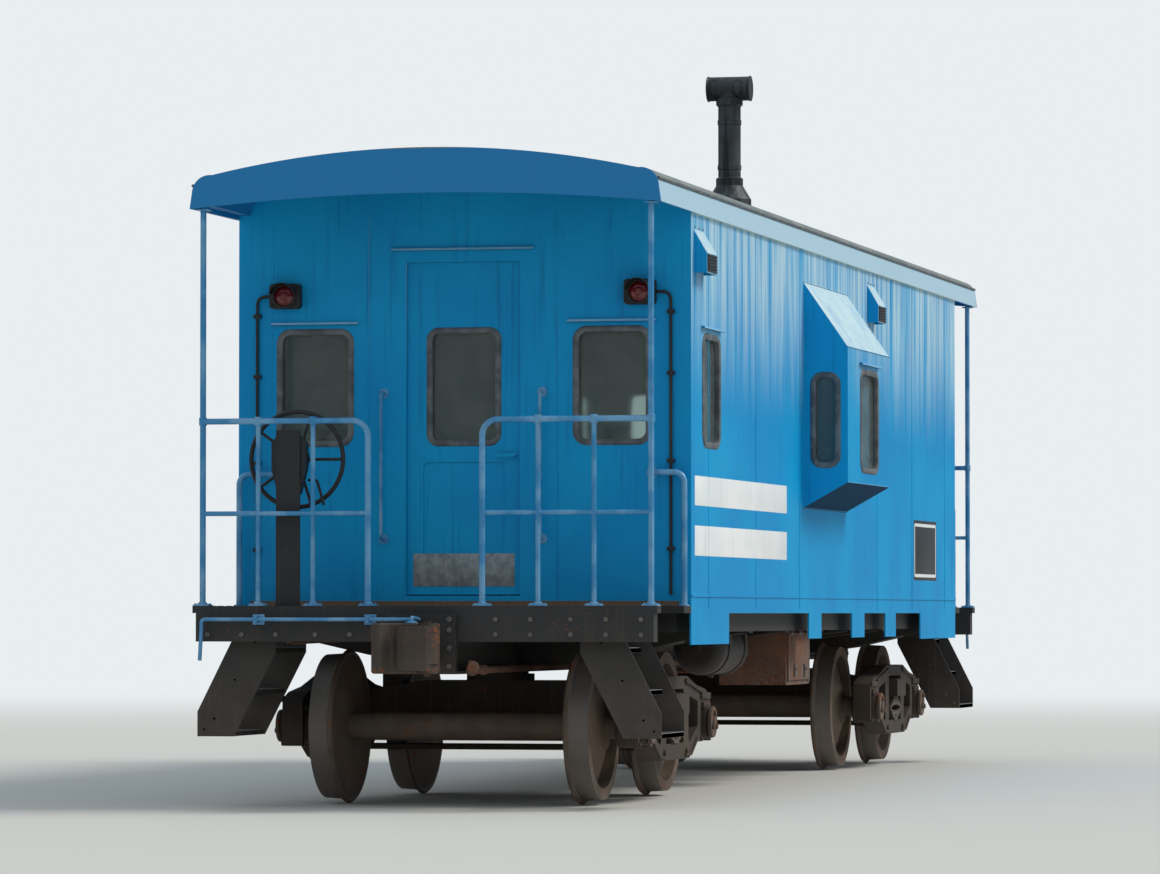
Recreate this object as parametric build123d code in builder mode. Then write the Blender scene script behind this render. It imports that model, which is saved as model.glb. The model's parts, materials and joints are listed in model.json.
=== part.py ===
from build123d import *
import os
from collections import namedtuple
from math import asin, cos, pi, sin, sqrt

os.makedirs("parts", exist_ok=True)

# Millimetres. X runs along the car, Y across it, Z up, and Z is 0 at the lowest point of the wheel flanges.
# End "b" is at -X and has the hand brake, end "a" is at +X.

# Wheels and axles
tread_radius = 419
flange_height = 25
flange_radius = tread_radius + flange_height
rail_top = flange_height
axle_height = flange_radius
back_to_back = 1353
wheel_width = 140
rim_radius = 350
hub_radius = 125
axle_radius = 80
journal_radius = 66
bearing_cap_radius = 92
axle_half_length = 1108

# Trucks
truck_centre = 3700
wheelbase = 1676
frame_inner_y = 930
frame_outer_y = 1050
frame_bottom = 240
frame_top = 725
bearing_radius = 104
bolster_half_width = 170
spring_seat_low = 335
spring_seat_high = 505
bowl_floor = 715
plate_radius = 165
king_pin_radius = 35

# Body
half_length = 4600
half_width = 1340
wall = 70
sheet_bottom = rail_top + 1070
end_drop_bottom = rail_top + 890
sheet_thickness = 10
floor_top = sheet_bottom + 70
inner_y = half_width - wall
wall_top = 3400

# Roof
roof_half_length = 5500
fascia_y = half_width + 22
fascia_bottom = 3375
crown_top = 3700
crown_edge_y = 1232
crown_edge_z = 3565
ceiling_top = crown_top - wall
ceiling_edge_y = 1180
ceiling_edge_z = 3497
fascia_plate = 12

# Bays
bay_centre = -495
bay_half_length = 745
bay_y = 1625
bay_wall = 60
bay_low = 1755
bay_sill = 1915
bay_brow = 2765
bay_top = 3175
slope_run = bay_y - half_width
bay_opening_top = bay_top - bay_wall * sqrt(slope_run**2 + (bay_top - bay_brow) ** 2) / slope_run
bay_opening_low = bay_low + bay_wall * sqrt(slope_run**2 + (bay_sill - bay_low) ** 2) / slope_run

# Platforms, with end sills and step wells
deck_top = 1135
deck_bottom = sheet_bottom
end_sill_inner = 5400
end_sill_bottom = 935
end_sill_half_width = 1320
step_inner_x = 4790
step_inner_y = 880
stringer = 10

# Centre sill and draft gear
sill_half_width = 155
sill_web = 14
sill_bottom = 755
coupler_height = rail_top + 876
pulling_face = 5930
shank_half_width = 65
shank_half_height = 82

# Doors
door_half_width = 350
door_thickness = 45
door_bottom = floor_top + 37
door_height = 1923
door_gap = 7
door_stop_width = 20
hinge_set_in = 12
hinge_radius = 9
hinge_pin_radius = 5
hinge_heights = (door_bottom + 200, door_bottom + 960, door_bottom + 1720)

ends = (("a", 1), ("b", -1))
sides = (("left", 1), ("right", -1))

# Every window opening: the panel it is cut in, its centre, the way it faces, its width, height and corner radius
Window = namedtuple("Window", "panel centre facing width height corner")
end_window_y = half_width - 250 - 210
bay_middle_y = (half_width + bay_y) / 2
windows = [
    Window("side_wall_right", (-4050, -half_width, 2375), (0, -1, 0), 460, 620, 80),
    Window("side_wall_left", (4050, half_width, 2375), (0, 1, 0), 460, 620, 80),
]
for end_name, end in ends:
    for side_name, side in sides:
        windows.append(
            Window(f"end_wall_{end_name}", (end * half_length, side * end_window_y, 2395), (end, 0, 0), 420, 640, 60)
        )
for side_name, side in sides:
    windows.append(Window(f"bay_{side_name}", (bay_centre, side * bay_y, 2315), (0, side, 0), 600, 620, 80))
    for end_name, end in ends:
        windows.append(
            Window(f"bay_{side_name}", (bay_centre + end * bay_half_length, side * bay_middle_y, 2305), (end, 0, 0),
                   150, 560, 55)
        )


def facing_plane(centre, facing):
    """A plane on an upright wall whose first axis is level and whose second is up."""
    return Plane(origin=centre, x_dir=(-facing[1], facing[0], 0), z_dir=facing)


def cut_windows(panel, depth):
    """Cuts a panel's windows out of the part that is being built."""
    for window in windows:
        if window.panel == panel:
            with BuildSketch(facing_plane(window.centre, window.facing)) as opening:
                RectangleRounded(window.width, window.height, window.corner)
            extrude(opening.sketch, amount=-depth, mode=Mode.SUBTRACT)


def block(low, high, mode=Mode.ADD):
    """A box between two corners."""
    size = [b - a for a, b in zip(low, high)]
    middle = [(a + b) / 2 for a, b in zip(low, high)]
    with Locations(Location(middle)):
        Box(*size, mode=mode)


def bar(start, finish, radius, mode=Mode.ADD):
    """A straight round bar between two points."""
    direction = Vector(*finish) - Vector(*start)
    with BuildSketch(Plane(origin=start, z_dir=direction)) as section:
        Circle(radius)
    extrude(section.sketch, amount=direction.length, mode=mode)


def bent_bar(points, bend, radius):
    """A round bar through points, with every corner bent to one radius."""
    with BuildLine() as path:
        FilletPolyline(*points, radius=bend)
    with BuildSketch(Plane(origin=path.line @ 0, z_dir=path.line % 0)) as section:
        Circle(radius)
    sweep(section.sketch, path=path.line)


def roof_outer_face():
    """The roof's outer outline across the car, closed along the lower edge of its fascia."""
    with BuildSketch(Plane.YZ) as face:
        with BuildLine():
            Polyline((-1348, 3470), (-fascia_y, fascia_bottom), (fascia_y, fascia_bottom), (1348, 3470))
            ThreePointArc((1348, 3470), (1316, 3538), (crown_edge_y, crown_edge_z))
            ThreePointArc((crown_edge_y, crown_edge_z), (0, crown_top), (-crown_edge_y, crown_edge_z))
            ThreePointArc((-crown_edge_y, crown_edge_z), (-1316, 3538), (-1348, 3470))
        make_face()
    return face.sketch


def end_fascia_face():
    """The roof's end fascia: the roof's outline with an arched lower edge."""
    with BuildSketch(Plane.YZ) as face:
        with BuildLine():
            Line((-1348, 3470), (-fascia_y, fascia_bottom))
            ThreePointArc((-fascia_y, fascia_bottom), (0, fascia_bottom + 70), (fascia_y, fascia_bottom))
            Line((fascia_y, fascia_bottom), (1348, 3470))
            ThreePointArc((1348, 3470), (1316, 3538), (crown_edge_y, crown_edge_z))
            ThreePointArc((crown_edge_y, crown_edge_z), (0, crown_top), (-crown_edge_y, crown_edge_z))
            ThreePointArc((-crown_edge_y, crown_edge_z), (-1316, 3538), (-1348, 3470))
        make_face()
    return face.sketch


def cabin_end_face(lower_edge):
    """The cabin's inner outline across the car, from a lower edge up to the arched ceiling."""
    with BuildSketch(Plane.YZ) as face:
        with BuildLine():
            Polyline((-inner_y, wall_top), (-inner_y, lower_edge), (inner_y, lower_edge), (inner_y, wall_top))
            ThreePointArc((inner_y, wall_top), (1248, 3462), (ceiling_edge_y, ceiling_edge_z))
            ThreePointArc((ceiling_edge_y, ceiling_edge_z), (0, ceiling_top), (-ceiling_edge_y, ceiling_edge_z))
            ThreePointArc((-ceiling_edge_y, ceiling_edge_z), (-1248, 3462), (-inner_y, wall_top))
        make_face()
    return face.sketch


# Underframe: centre sill, body bolsters, cross bearers, side sills and end sills in one weldment
bolster_half = 180
side_sill_outer = 1250
side_sill_inner = 1180
side_sill_bottom = 985
jacking_pad_z = 925
cross_bearers = (-2300, -1150, 0, 1150, 2300)
with BuildPart() as underframe:
    with BuildSketch(Plane.YZ.offset(-roof_half_length)):
        with Locations((0, sill_bottom)):
            Rectangle(2 * sill_half_width, sheet_bottom - sill_bottom, align=(Align.CENTER, Align.MIN))
            Rectangle(2 * sill_half_width + 120, 16, align=(Align.CENTER, Align.MIN))
            Rectangle(2 * (sill_half_width - sill_web), sheet_bottom - sill_bottom - sill_web,
                      align=(Align.CENTER, Align.MIN), mode=Mode.SUBTRACT)
    extrude(amount=2 * roof_half_length)
    # Side sills: channels that open inwards
    for side_name, side in sides:
        with BuildSketch(Plane.YZ.offset(-half_length)):
            Polygon((side * side_sill_inner, sheet_bottom), (side * side_sill_outer, sheet_bottom),
                    (side * side_sill_outer, side_sill_bottom), (side * side_sill_inner, side_sill_bottom),
                    (side * side_sill_inner, side_sill_bottom + 12), (side * (side_sill_outer - 12), side_sill_bottom + 12),
                    (side * (side_sill_outer - 12), sheet_bottom - 12), (side * side_sill_inner, sheet_bottom - 12),
                    align=None)
        extrude(amount=2 * half_length)
    # Cross bearers: tapered webs with a foot
    for x in cross_bearers:
        for side_name, side in sides:
            with BuildSketch(Plane.YZ.offset(x - 7)):
                Polygon((side * sill_half_width, sheet_bottom), (side * side_sill_inner, sheet_bottom),
                        (side * side_sill_inner, side_sill_bottom), (side * 500, 900), (side * sill_half_width, 900),
                        align=None)
            extrude(amount=14)
            with BuildSketch(Plane.YZ.offset(x - 60)):
                Polygon((side * (side_sill_inner + 40), side_sill_bottom), (side * side_sill_inner, side_sill_bottom),
                        (side * 500, 900), (side * sill_half_width, 900), (side * sill_half_width, 888),
                        (side * 503, 888), (side * side_sill_inner, side_sill_bottom - 12),
                        (side * (side_sill_inner + 40), side_sill_bottom - 12), align=None)
            extrude(amount=120)
    # Body bolsters, with the filler, the centre plate, the king pin and the side bearings over each truck
    for end_name, end in ends:
        with BuildSketch(Plane.YZ.offset(end * truck_centre - bolster_half)):
            Polygon((-side_sill_outer, sheet_bottom), (side_sill_outer, sheet_bottom), (side_sill_outer, 960),
                    (760, 850), (400, 800), (-400, 800), (-760, 850), (-side_sill_outer, 960), align=None)
        extrude(amount=2 * bolster_half)
        block((end * truck_centre - bolster_half, -sill_half_width, sill_bottom),
              (end * truck_centre + bolster_half, sill_half_width, 850))
        with Locations((end * truck_centre, 0, bowl_floor + 1)):
            Cylinder(plate_radius, sill_bottom - bowl_floor, align=(Align.CENTER, Align.CENTER, Align.MIN))
        with Locations((end * truck_centre, 0, 620)):
            Cylinder(king_pin_radius, 140, align=(Align.CENTER, Align.CENTER, Align.MIN))
        for side_name, side in sides:
            block((end * truck_centre - 90, side * 635 - 60, 768), (end * truck_centre + 90, side * 635 + 60, 860))
            # Jacking pad at the bolster's end
            y_low, y_high = sorted((side * (side_sill_outer - 120), side * side_sill_outer))
            block((end * truck_centre - 120, y_low, jacking_pad_z), (end * truck_centre + 120, y_high, 985))
    # Cross member under each end wall, and the end sill with its notch for the coupler
    for end_name, end in ends:
        x_low, x_high = sorted((end * (half_length - 60), end * half_length))
        block((x_low, -side_sill_outer, side_sill_bottom), (x_high, side_sill_outer, sheet_bottom))
        block((x_low, -(sill_half_width - sill_web), sill_bottom), (x_high, sill_half_width - sill_web,
              sheet_bottom - sill_web), mode=Mode.SUBTRACT)
        x_low, x_high = sorted((end * end_sill_inner, end * roof_half_length))
        block((x_low, -end_sill_half_width, end_sill_bottom), (x_high, end_sill_half_width, deck_bottom))
        block((x_low, -(sill_half_width - sill_web), sill_bottom), (x_high, sill_half_width - sill_web,
              sheet_bottom - sill_web), mode=Mode.SUBTRACT)
        # Striker: a frame round the coupler's shank that also carries it
        x_low, x_high = sorted((end * roof_half_length, end * (roof_half_length + 40)))
        block((x_low, -200, sill_bottom), (x_high, 200, deck_bottom))
        block((x_low, -100, coupler_height - shank_half_height), (x_high, 100, coupler_height + 105),
              mode=Mode.SUBTRACT)
underframe.part.label = "underframe"
export_step(underframe.part, "parts/underframe.step")

# Floor
with BuildPart() as floor:
    block((-half_length, -inner_y, sheet_bottom), (half_length, inner_y, floor_top))
floor.part.label = "floor"
export_step(floor.part, "parts/floor.step")

# Side walls, each as thick as the whole wall, with the sheet's dropped ends and small tabs below the edge
near_drop_length = 1060
far_drop_length = 1500
tab_bottom = sheet_bottom - 160
tabs = ((-half_length, near_drop_length, end_drop_bottom), (-1050, 420, tab_bottom), (450, 450, tab_bottom),
        (1700, 400, tab_bottom), (half_length - far_drop_length, far_drop_length, end_drop_bottom))
belt_height = rail_top + 1170
for side_name, side in sides:
    with BuildPart() as side_wall:
        y_low, y_high = sorted((side * inner_y, side * half_width))
        block((-half_length, y_low, sheet_bottom), (half_length, y_high, wall_top))
        block((bay_centre - bay_half_length + bay_wall, y_low, bay_opening_low),
              (bay_centre + bay_half_length - bay_wall, y_high, bay_opening_top), mode=Mode.SUBTRACT)
        # Each tab: where it starts along X, its length and its lower edge; the left side's are turned half round
        y_low, y_high = sorted((side * (half_width - sheet_thickness), side * half_width))
        for tab_start, tab_length, lower_edge in tabs:
            x_low, x_high = sorted((-side * tab_start, -side * (tab_start + tab_length)))
            block((x_low, y_low, lower_edge), (x_high, y_high, sheet_bottom))
        # The lip where the side sheet laps the side sill
        y_low, y_high = sorted((side * half_width, side * (half_width + 6)))
        block((-half_length, y_low, belt_height - 7), (half_length, y_high, belt_height + 7))
        cut_windows(f"side_wall_{side_name}", wall)
    side_wall.part.label = f"side_wall_{side_name}"
    export_step(side_wall.part, f"parts/side_wall_{side_name}.step")

# End walls, with the doorway, its stop and the fixed halves of the hinges
for end_name, end in ends:
    with BuildPart() as end_wall:
        extrude(cabin_end_face(floor_top).moved(Location((end * half_length, 0, 0))), amount=-wall if end > 0 else wall)
        opening_half = door_half_width + door_gap
        door_top = door_bottom + door_height + door_gap
        x_low, x_high = sorted((end * (half_length - wall), end * (half_length - wall + door_thickness + door_gap)))
        block((x_low, -opening_half, door_bottom - door_gap), (x_high, opening_half, door_top), mode=Mode.SUBTRACT)
        x_low, x_high = sorted((end * (half_length - wall), end * half_length))
        block((x_low, -opening_half + door_stop_width, door_bottom - door_gap),
              (x_high, opening_half - door_stop_width, door_top - door_stop_width), mode=Mode.SUBTRACT)
        cut_windows(f"end_wall_{end_name}", wall)
        # Hinge halves on the wall: a leaf and a knuckle with its bore
        hinge_x = end * (half_length - wall - hinge_set_in)
        hinge_y = -end * opening_half
        for height in hinge_heights:
            x_low, x_high = sorted((end * (half_length - wall - 8), end * (half_length - wall)))
            y_low, y_high = sorted((hinge_y - end * 70, hinge_y - end * 3))
            block((x_low, y_low, height - 19), (x_high, y_high, height + 19))
            bar((hinge_x, hinge_y, height - 19), (hinge_x, hinge_y, height + 19), hinge_radius)
            bar((hinge_x, hinge_y, height - 19), (hinge_x, hinge_y, height + 19), hinge_pin_radius + 0.5,
                mode=Mode.SUBTRACT)
    end_wall.part.label = f"end_wall_{end_name}"
    export_step(end_wall.part, f"parts/end_wall_{end_name}.step")

# Doors: a slab with a window, a pressed lower panel, a handle on each face and its halves of the hinges
door_window_width = 400
door_window_bottom = 2075
door_window_height = 640
for end_name, end in ends:
    with BuildPart() as door:
        inner_x = end * (half_length - wall)
        outer_x = end * (half_length - wall + door_thickness)
        x_low, x_high = sorted((inner_x, outer_x))
        block((x_low, -door_half_width, door_bottom), (x_high, door_half_width, door_bottom + door_height))
        with BuildSketch(facing_plane((outer_x, 0, door_window_bottom + door_window_height / 2), (end, 0, 0))):
            RectangleRounded(door_window_width, door_window_height, 50)
        extrude(amount=-door_thickness, mode=Mode.SUBTRACT)
        with BuildSketch(facing_plane((outer_x, 0, door_bottom + 450), (end, 0, 0))):
            RectangleRounded(480, 620, 30)
        extrude(amount=-8, mode=Mode.SUBTRACT)
        # Handles
        handle_y = end * 300
        for face_x, out in ((outer_x, end), (inner_x, -end)):
            bar((face_x, handle_y, 2000), (face_x + out * 45, handle_y, 2000), 10)
            x_low, x_high = sorted((face_x + out * 33, face_x + out * 45))
            y_low, y_high = sorted((handle_y + end * 12, handle_y - end * 110))
            block((x_low, y_low, 1991), (x_high, y_high, 2009))
        # Hinge halves on the door
        hinge_x = end * (half_length - wall - hinge_set_in)
        hinge_y = -end * (door_half_width + door_gap)
        for height in hinge_heights:
            for low, high in ((height - 45, height - 20), (height + 20, height + 45)):
                bar((hinge_x, hinge_y, low), (hinge_x, hinge_y, high), hinge_radius)
                x_low, x_high = sorted((end * (half_length - wall - 8), inner_x))
                y_low, y_high = sorted((hinge_y + end * 3, hinge_y + end * 70))
                block((x_low, y_low, low), (x_high, y_high, high))
            bar((hinge_x, hinge_y, height - 45), (hinge_x, hinge_y, height + 45), hinge_pin_radius)
    door.part.label = f"door_{end_name}"
    export_step(door.part, f"parts/door_{end_name}.step")
    with BuildPart() as door_glass:
        middle_x = end * (half_length - wall + door_thickness / 2 + 4)
        with BuildSketch(facing_plane((middle_x, 0, door_window_bottom + door_window_height / 2), (end, 0, 0))):
            RectangleRounded(door_window_width, door_window_height, 50)
        extrude(amount=-8)
    door_glass.part.label = f"door_glass_{end_name}"
    export_step(door_glass.part, f"parts/door_glass_{end_name}.step")

# Roof: an arched shell with its lining, a fascia at each end and lapped seams
seam_spacing = 1375
with BuildPart() as roof:
    extrude(roof_outer_face().moved(Location((-roof_half_length, 0, 0))), amount=2 * roof_half_length)
    extrude(cabin_end_face(wall_top - 1).moved(Location((-roof_half_length, 0, 0))), amount=2 * roof_half_length,
            mode=Mode.SUBTRACT)
    block((-roof_half_length, -half_width, fascia_bottom), (roof_half_length, half_width, wall_top), mode=Mode.SUBTRACT)
    for end_name, end in ends:
        extrude(end_fascia_face().moved(Location((end * roof_half_length, 0, 0))), amount=-end * fascia_plate)
    for number in range(8):
        seam_x = (number - 3.5) * seam_spacing
        with BuildSketch(Plane.YZ.offset(seam_x - 20)):
            with BuildLine():
                ThreePointArc((crown_edge_y, crown_edge_z), (0, crown_top), (-crown_edge_y, crown_edge_z))
                Line((-crown_edge_y, crown_edge_z), (-crown_edge_y - 2, crown_edge_z + 9))
                ThreePointArc((-crown_edge_y - 2, crown_edge_z + 9), (0, crown_top + 9),
                              (crown_edge_y + 2, crown_edge_z + 9))
                Line((crown_edge_y + 2, crown_edge_z + 9), (crown_edge_y, crown_edge_z))
            make_face()
        extrude(amount=40)
roof.part.label = "roof"
export_step(roof.part, "parts/roof.step")

# Bays: hollow shells with sloped tops and undersides, open to the cabin
for side_name, side in sides:
    with BuildPart() as bay:
        with BuildSketch(Plane.YZ.offset(bay_centre - bay_half_length)):
            Polygon((side * half_width, bay_low), (side * bay_y, bay_sill), (side * bay_y, bay_brow),
                    (side * half_width, bay_top), align=None)
        extrude(amount=2 * bay_half_length)
        cabin_side = bay.faces().sort_by(Axis.Y)[0 if side > 0 else -1]
        offset(amount=-bay_wall, openings=cabin_side)
        cut_windows(f"bay_{side_name}", bay_wall)
    bay.part.label = f"bay_{side_name}"
    export_step(bay.part, f"parts/bay_{side_name}.step")

# Window glass: one pane in every opening, set in from the outer face
glass_set_in = 22
glass_thickness = 8
with BuildPart() as window_glass:
    for window in windows:
        with BuildSketch(facing_plane(window.centre, window.facing).offset(-glass_set_in)):
            RectangleRounded(window.width, window.height, window.corner)
        extrude(amount=-glass_thickness)
window_glass.part.label = "window_glass"
export_step(window_glass.part, "parts/window_glass.step")

# Vent hoods on the sides: where each stands along X and on which side
vent_places = ((-4390, -1), (1150, -1), (4390, 1), (1150, 1))
with BuildPart() as vent_hoods:
    for vent_x, side in vent_places:
        with BuildSketch(Plane.YZ.offset(vent_x - 140)):
            Polygon((side * half_width, 3035), (side * (half_width + 78), 3035), (side * (half_width + 78), 3150),
                    (side * half_width, 3285), align=None)
            Polygon((side * half_width, 3035), (side * (half_width + 74), 3035), (side * (half_width + 74), 3148),
                    (side * half_width, 3276), align=None, mode=Mode.SUBTRACT)
        extrude(amount=280)
        for plate_x in (vent_x - 140, vent_x + 136):
            with BuildSketch(Plane.YZ.offset(plate_x)):
                Polygon((side * half_width, 3035), (side * (half_width + 76), 3035), (side * (half_width + 76), 3149),
                        (side * half_width, 3281), align=None)
            extrude(amount=4)
vent_hoods.part.label = "vent_hoods"
export_step(vent_hoods.part, "parts/vent_hoods.step")

# Marker lamps high on the corners of the end walls: a housing on the wall and a lens in front of it
lamp_y = half_width - 290
lamp_z = rail_top + 2900
with BuildPart() as marker_lamps:
    for end_name, end in ends:
        for side_name, side in sides:
            with BuildSketch(facing_plane((end * half_length, side * lamp_y, lamp_z), (end, 0, 0))):
                RectangleRounded(180, 145, 22)
            extrude(amount=62)
marker_lamps.part.label = "marker_lamps"
export_step(marker_lamps.part, "parts/marker_lamps.step")
with BuildPart() as marker_lenses:
    for end_name, end in ends:
        for side_name, side in sides:
            with BuildSketch(facing_plane((end * (half_length + 62), side * lamp_y, lamp_z), (end, 0, 0))):
                Circle(58)
            extrude(amount=24, taper=14)
marker_lenses.part.label = "marker_lenses"
export_step(marker_lenses.part, "parts/marker_lenses.step")

# Smoke stack on the roof: a flared collar, the pipe and a tee across its top
stack_x = -1750
stack_y = -975
stack_top = rail_top + 4400
pipe_radius = 70
tee_radius = 75
with BuildPart() as stack:
    with BuildSketch(Plane.XZ.offset(-stack_y)):
        with BuildLine():
            Polyline((stack_x, 3560), (stack_x + 135, 3560), (stack_x + 135, 3660), (stack_x + 84, 3745),
                     (stack_x + 84, 3790), (stack_x + pipe_radius, 3800), (stack_x + pipe_radius, stack_top - tee_radius),
                     (stack_x, stack_top - tee_radius), (stack_x, 3560))
        make_face()
    revolve(axis=Axis((stack_x, stack_y, 0), (0, 0, 1)))
    bar((stack_x, stack_y - 125, stack_top - tee_radius), (stack_x, stack_y + 125, stack_top - tee_radius), tee_radius)
    bar((stack_x, stack_y - 125, stack_top - tee_radius), (stack_x, stack_y + 125, stack_top - tee_radius),
        tee_radius - 6, mode=Mode.SUBTRACT)
    extrude(roof_outer_face().moved(Location((stack_x - 300, 0, 0))), amount=600, mode=Mode.SUBTRACT)
stack.part.label = "stack"
export_step(stack.part, "parts/stack.step")

# Platform decks with the two step wells cut out of each
for end_name, end in ends:
    with BuildPart() as platform:
        x_low, x_high = sorted((end * half_length, end * roof_half_length))
        block((x_low, -half_width, deck_bottom), (x_high, half_width, deck_top))
        x_low, x_high = sorted((end * step_inner_x, end * end_sill_inner))
        for side_name, side in sides:
            y_low, y_high = sorted((side * step_inner_y, side * half_width))
            block((x_low, y_low, deck_bottom), (x_high, y_high, deck_top), mode=Mode.SUBTRACT)
    platform.part.label = f"platform_{end_name}"
    export_step(platform.part, f"parts/platform_{end_name}.step")

# Steps: two stringers and three treads in each corner well
# Each tread: its top, and its inner and outer edges across the car
treads = ((898, 890, 1090), (662, 1015, 1215), (425, 1140, 1340))
for end_name, end in ends:
    with BuildPart() as steps:
        for side_name, side in sides:
            for plate_x in (step_inner_x - stringer, end_sill_inner - stringer):
                x_low, x_high = sorted((end * plate_x, end * (plate_x + stringer)))
                with BuildSketch(Plane.YZ.offset(x_low)):
                    Polygon((side * step_inner_y, deck_bottom), (side * step_inner_y, 872), (side * 1125, 400),
                            (side * half_width, 400), (side * half_width, 540), (side * 1060, deck_bottom), align=None)
                extrude(amount=x_high - x_low)
            x_low, x_high = sorted((end * step_inner_x, end * (end_sill_inner - stringer)))
            for tread_top, tread_inner, tread_outer in treads:
                y_low, y_high = sorted((side * tread_inner, side * tread_outer))
                block((x_low, y_low, tread_top - 25), (x_high, y_high, tread_top))
    steps.part.label = f"steps_{end_name}"
    export_step(steps.part, f"parts/steps_{end_name}.step")

# End railings: a tall corner post up to the roof and a railing from it to the walkway, on each side
rail_x = 5450
rail_height = deck_top + 1040
middle_rail = deck_top + 520
tube_radius = 17
corner_post_y = 1295
inner_post_y = 330
balusters = (650, 970)
for end_name, end in ends:
    with BuildPart() as railing:
        for side_name, side in sides:
            x = end * rail_x
            bar((x, side * corner_post_y, deck_top), (x, side * corner_post_y, wall_top), tube_radius)
            bent_bar([(x, side * inner_post_y, deck_top), (x, side * inner_post_y, rail_height),
                      (x, side * corner_post_y, rail_height)], 90, tube_radius)
            bar((x, side * inner_post_y, middle_rail), (x, side * corner_post_y, middle_rail), tube_radius * 0.8)
            for baluster_y in balusters:
                bar((x, side * baluster_y, deck_top), (x, side * baluster_y, rail_height), tube_radius * 0.8)
    railing.part.label = f"railing_{end_name}"
    export_step(railing.part, f"parts/railing_{end_name}.step")

# Corner handrails: up beside each step well, over and into the end wall
handrail_x = half_length + 70
handrail_y = 1315
handrail_top = rail_top + 1870
with BuildPart() as corner_handrails:
    for end_name, end in ends:
        for side_name, side in sides:
            bent_bar([(end * handrail_x, side * handrail_y, deck_top),
                      (end * handrail_x, side * handrail_y, handrail_top),
                      (end * handrail_x, side * (handrail_y - 200), handrail_top),
                      (end * half_length, side * (handrail_y - 200), handrail_top)], 60, tube_radius)
corner_handrails.part.label = "corner_handrails"
export_step(corner_handrails.part, "parts/corner_handrails.step")

# Hand brake at end b: a stand on the deck, the gear housing, the wheel and the chain rod
brake_y = 810
brake_z = deck_top + 830
brake_stand_x = -(rail_x - 45)
brake_wheel_radius = 270
with BuildPart() as hand_brake:
    block((brake_stand_x, brake_y - 70, deck_top), (brake_stand_x + 12, brake_y + 70, brake_z + 160))
    with BuildSketch(facing_plane((brake_stand_x + 12, brake_y, brake_z), (1, 0, 0))):
        with BuildLine():
            FilletPolyline((-60, -210), (60, -210), (100, -60), (100, 90), (50, 150), (-50, 150), (-100, 90),
                           (-100, -60), radius=22, close=True)
        make_face()
    extrude(amount=95, taper=6)
    bar((brake_stand_x + 100, brake_y, brake_z), (brake_stand_x + 175, brake_y, brake_z), 18)
    bar((brake_stand_x + 60, brake_y, deck_top), (brake_stand_x + 60, brake_y, brake_z - 200), 14)
hand_brake.part.label = "hand_brake"
export_step(hand_brake.part, "parts/hand_brake.step")
with BuildPart() as brake_wheel:
    wheel_x = brake_stand_x + 175
    with BuildSketch(Plane.XZ.offset(-brake_y)):
        with Locations((wheel_x + 14, brake_z + brake_wheel_radius)):
            Circle(13)
    revolve(axis=Axis((wheel_x, brake_y, brake_z), (1, 0, 0)))
    bar((wheel_x, brake_y, brake_z), (wheel_x + 34, brake_y, brake_z), 36)
    for spoke in range(5):
        angle = 2 * pi * (spoke + 0.5) / 5
        bar((wheel_x + 16, brake_y, brake_z),
            (wheel_x + 14, brake_y + brake_wheel_radius * cos(angle), brake_z + brake_wheel_radius * sin(angle)), 9)
brake_wheel.part.label = "brake_wheel"
export_step(brake_wheel.part, "parts/brake_wheel.step")

# Couplers: shank, yoke end, horn, and the head with the lugs that hold the knuckle on its pin
head_half_height = 140
hub_half_height = 88
nose_half_height = 125
knuckle_pin_x = 5838
knuckle_pin_y = 118
knuckle_pin_radius = 20
lug_radius = 46
lug_height = head_half_height - hub_half_height - 2
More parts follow.
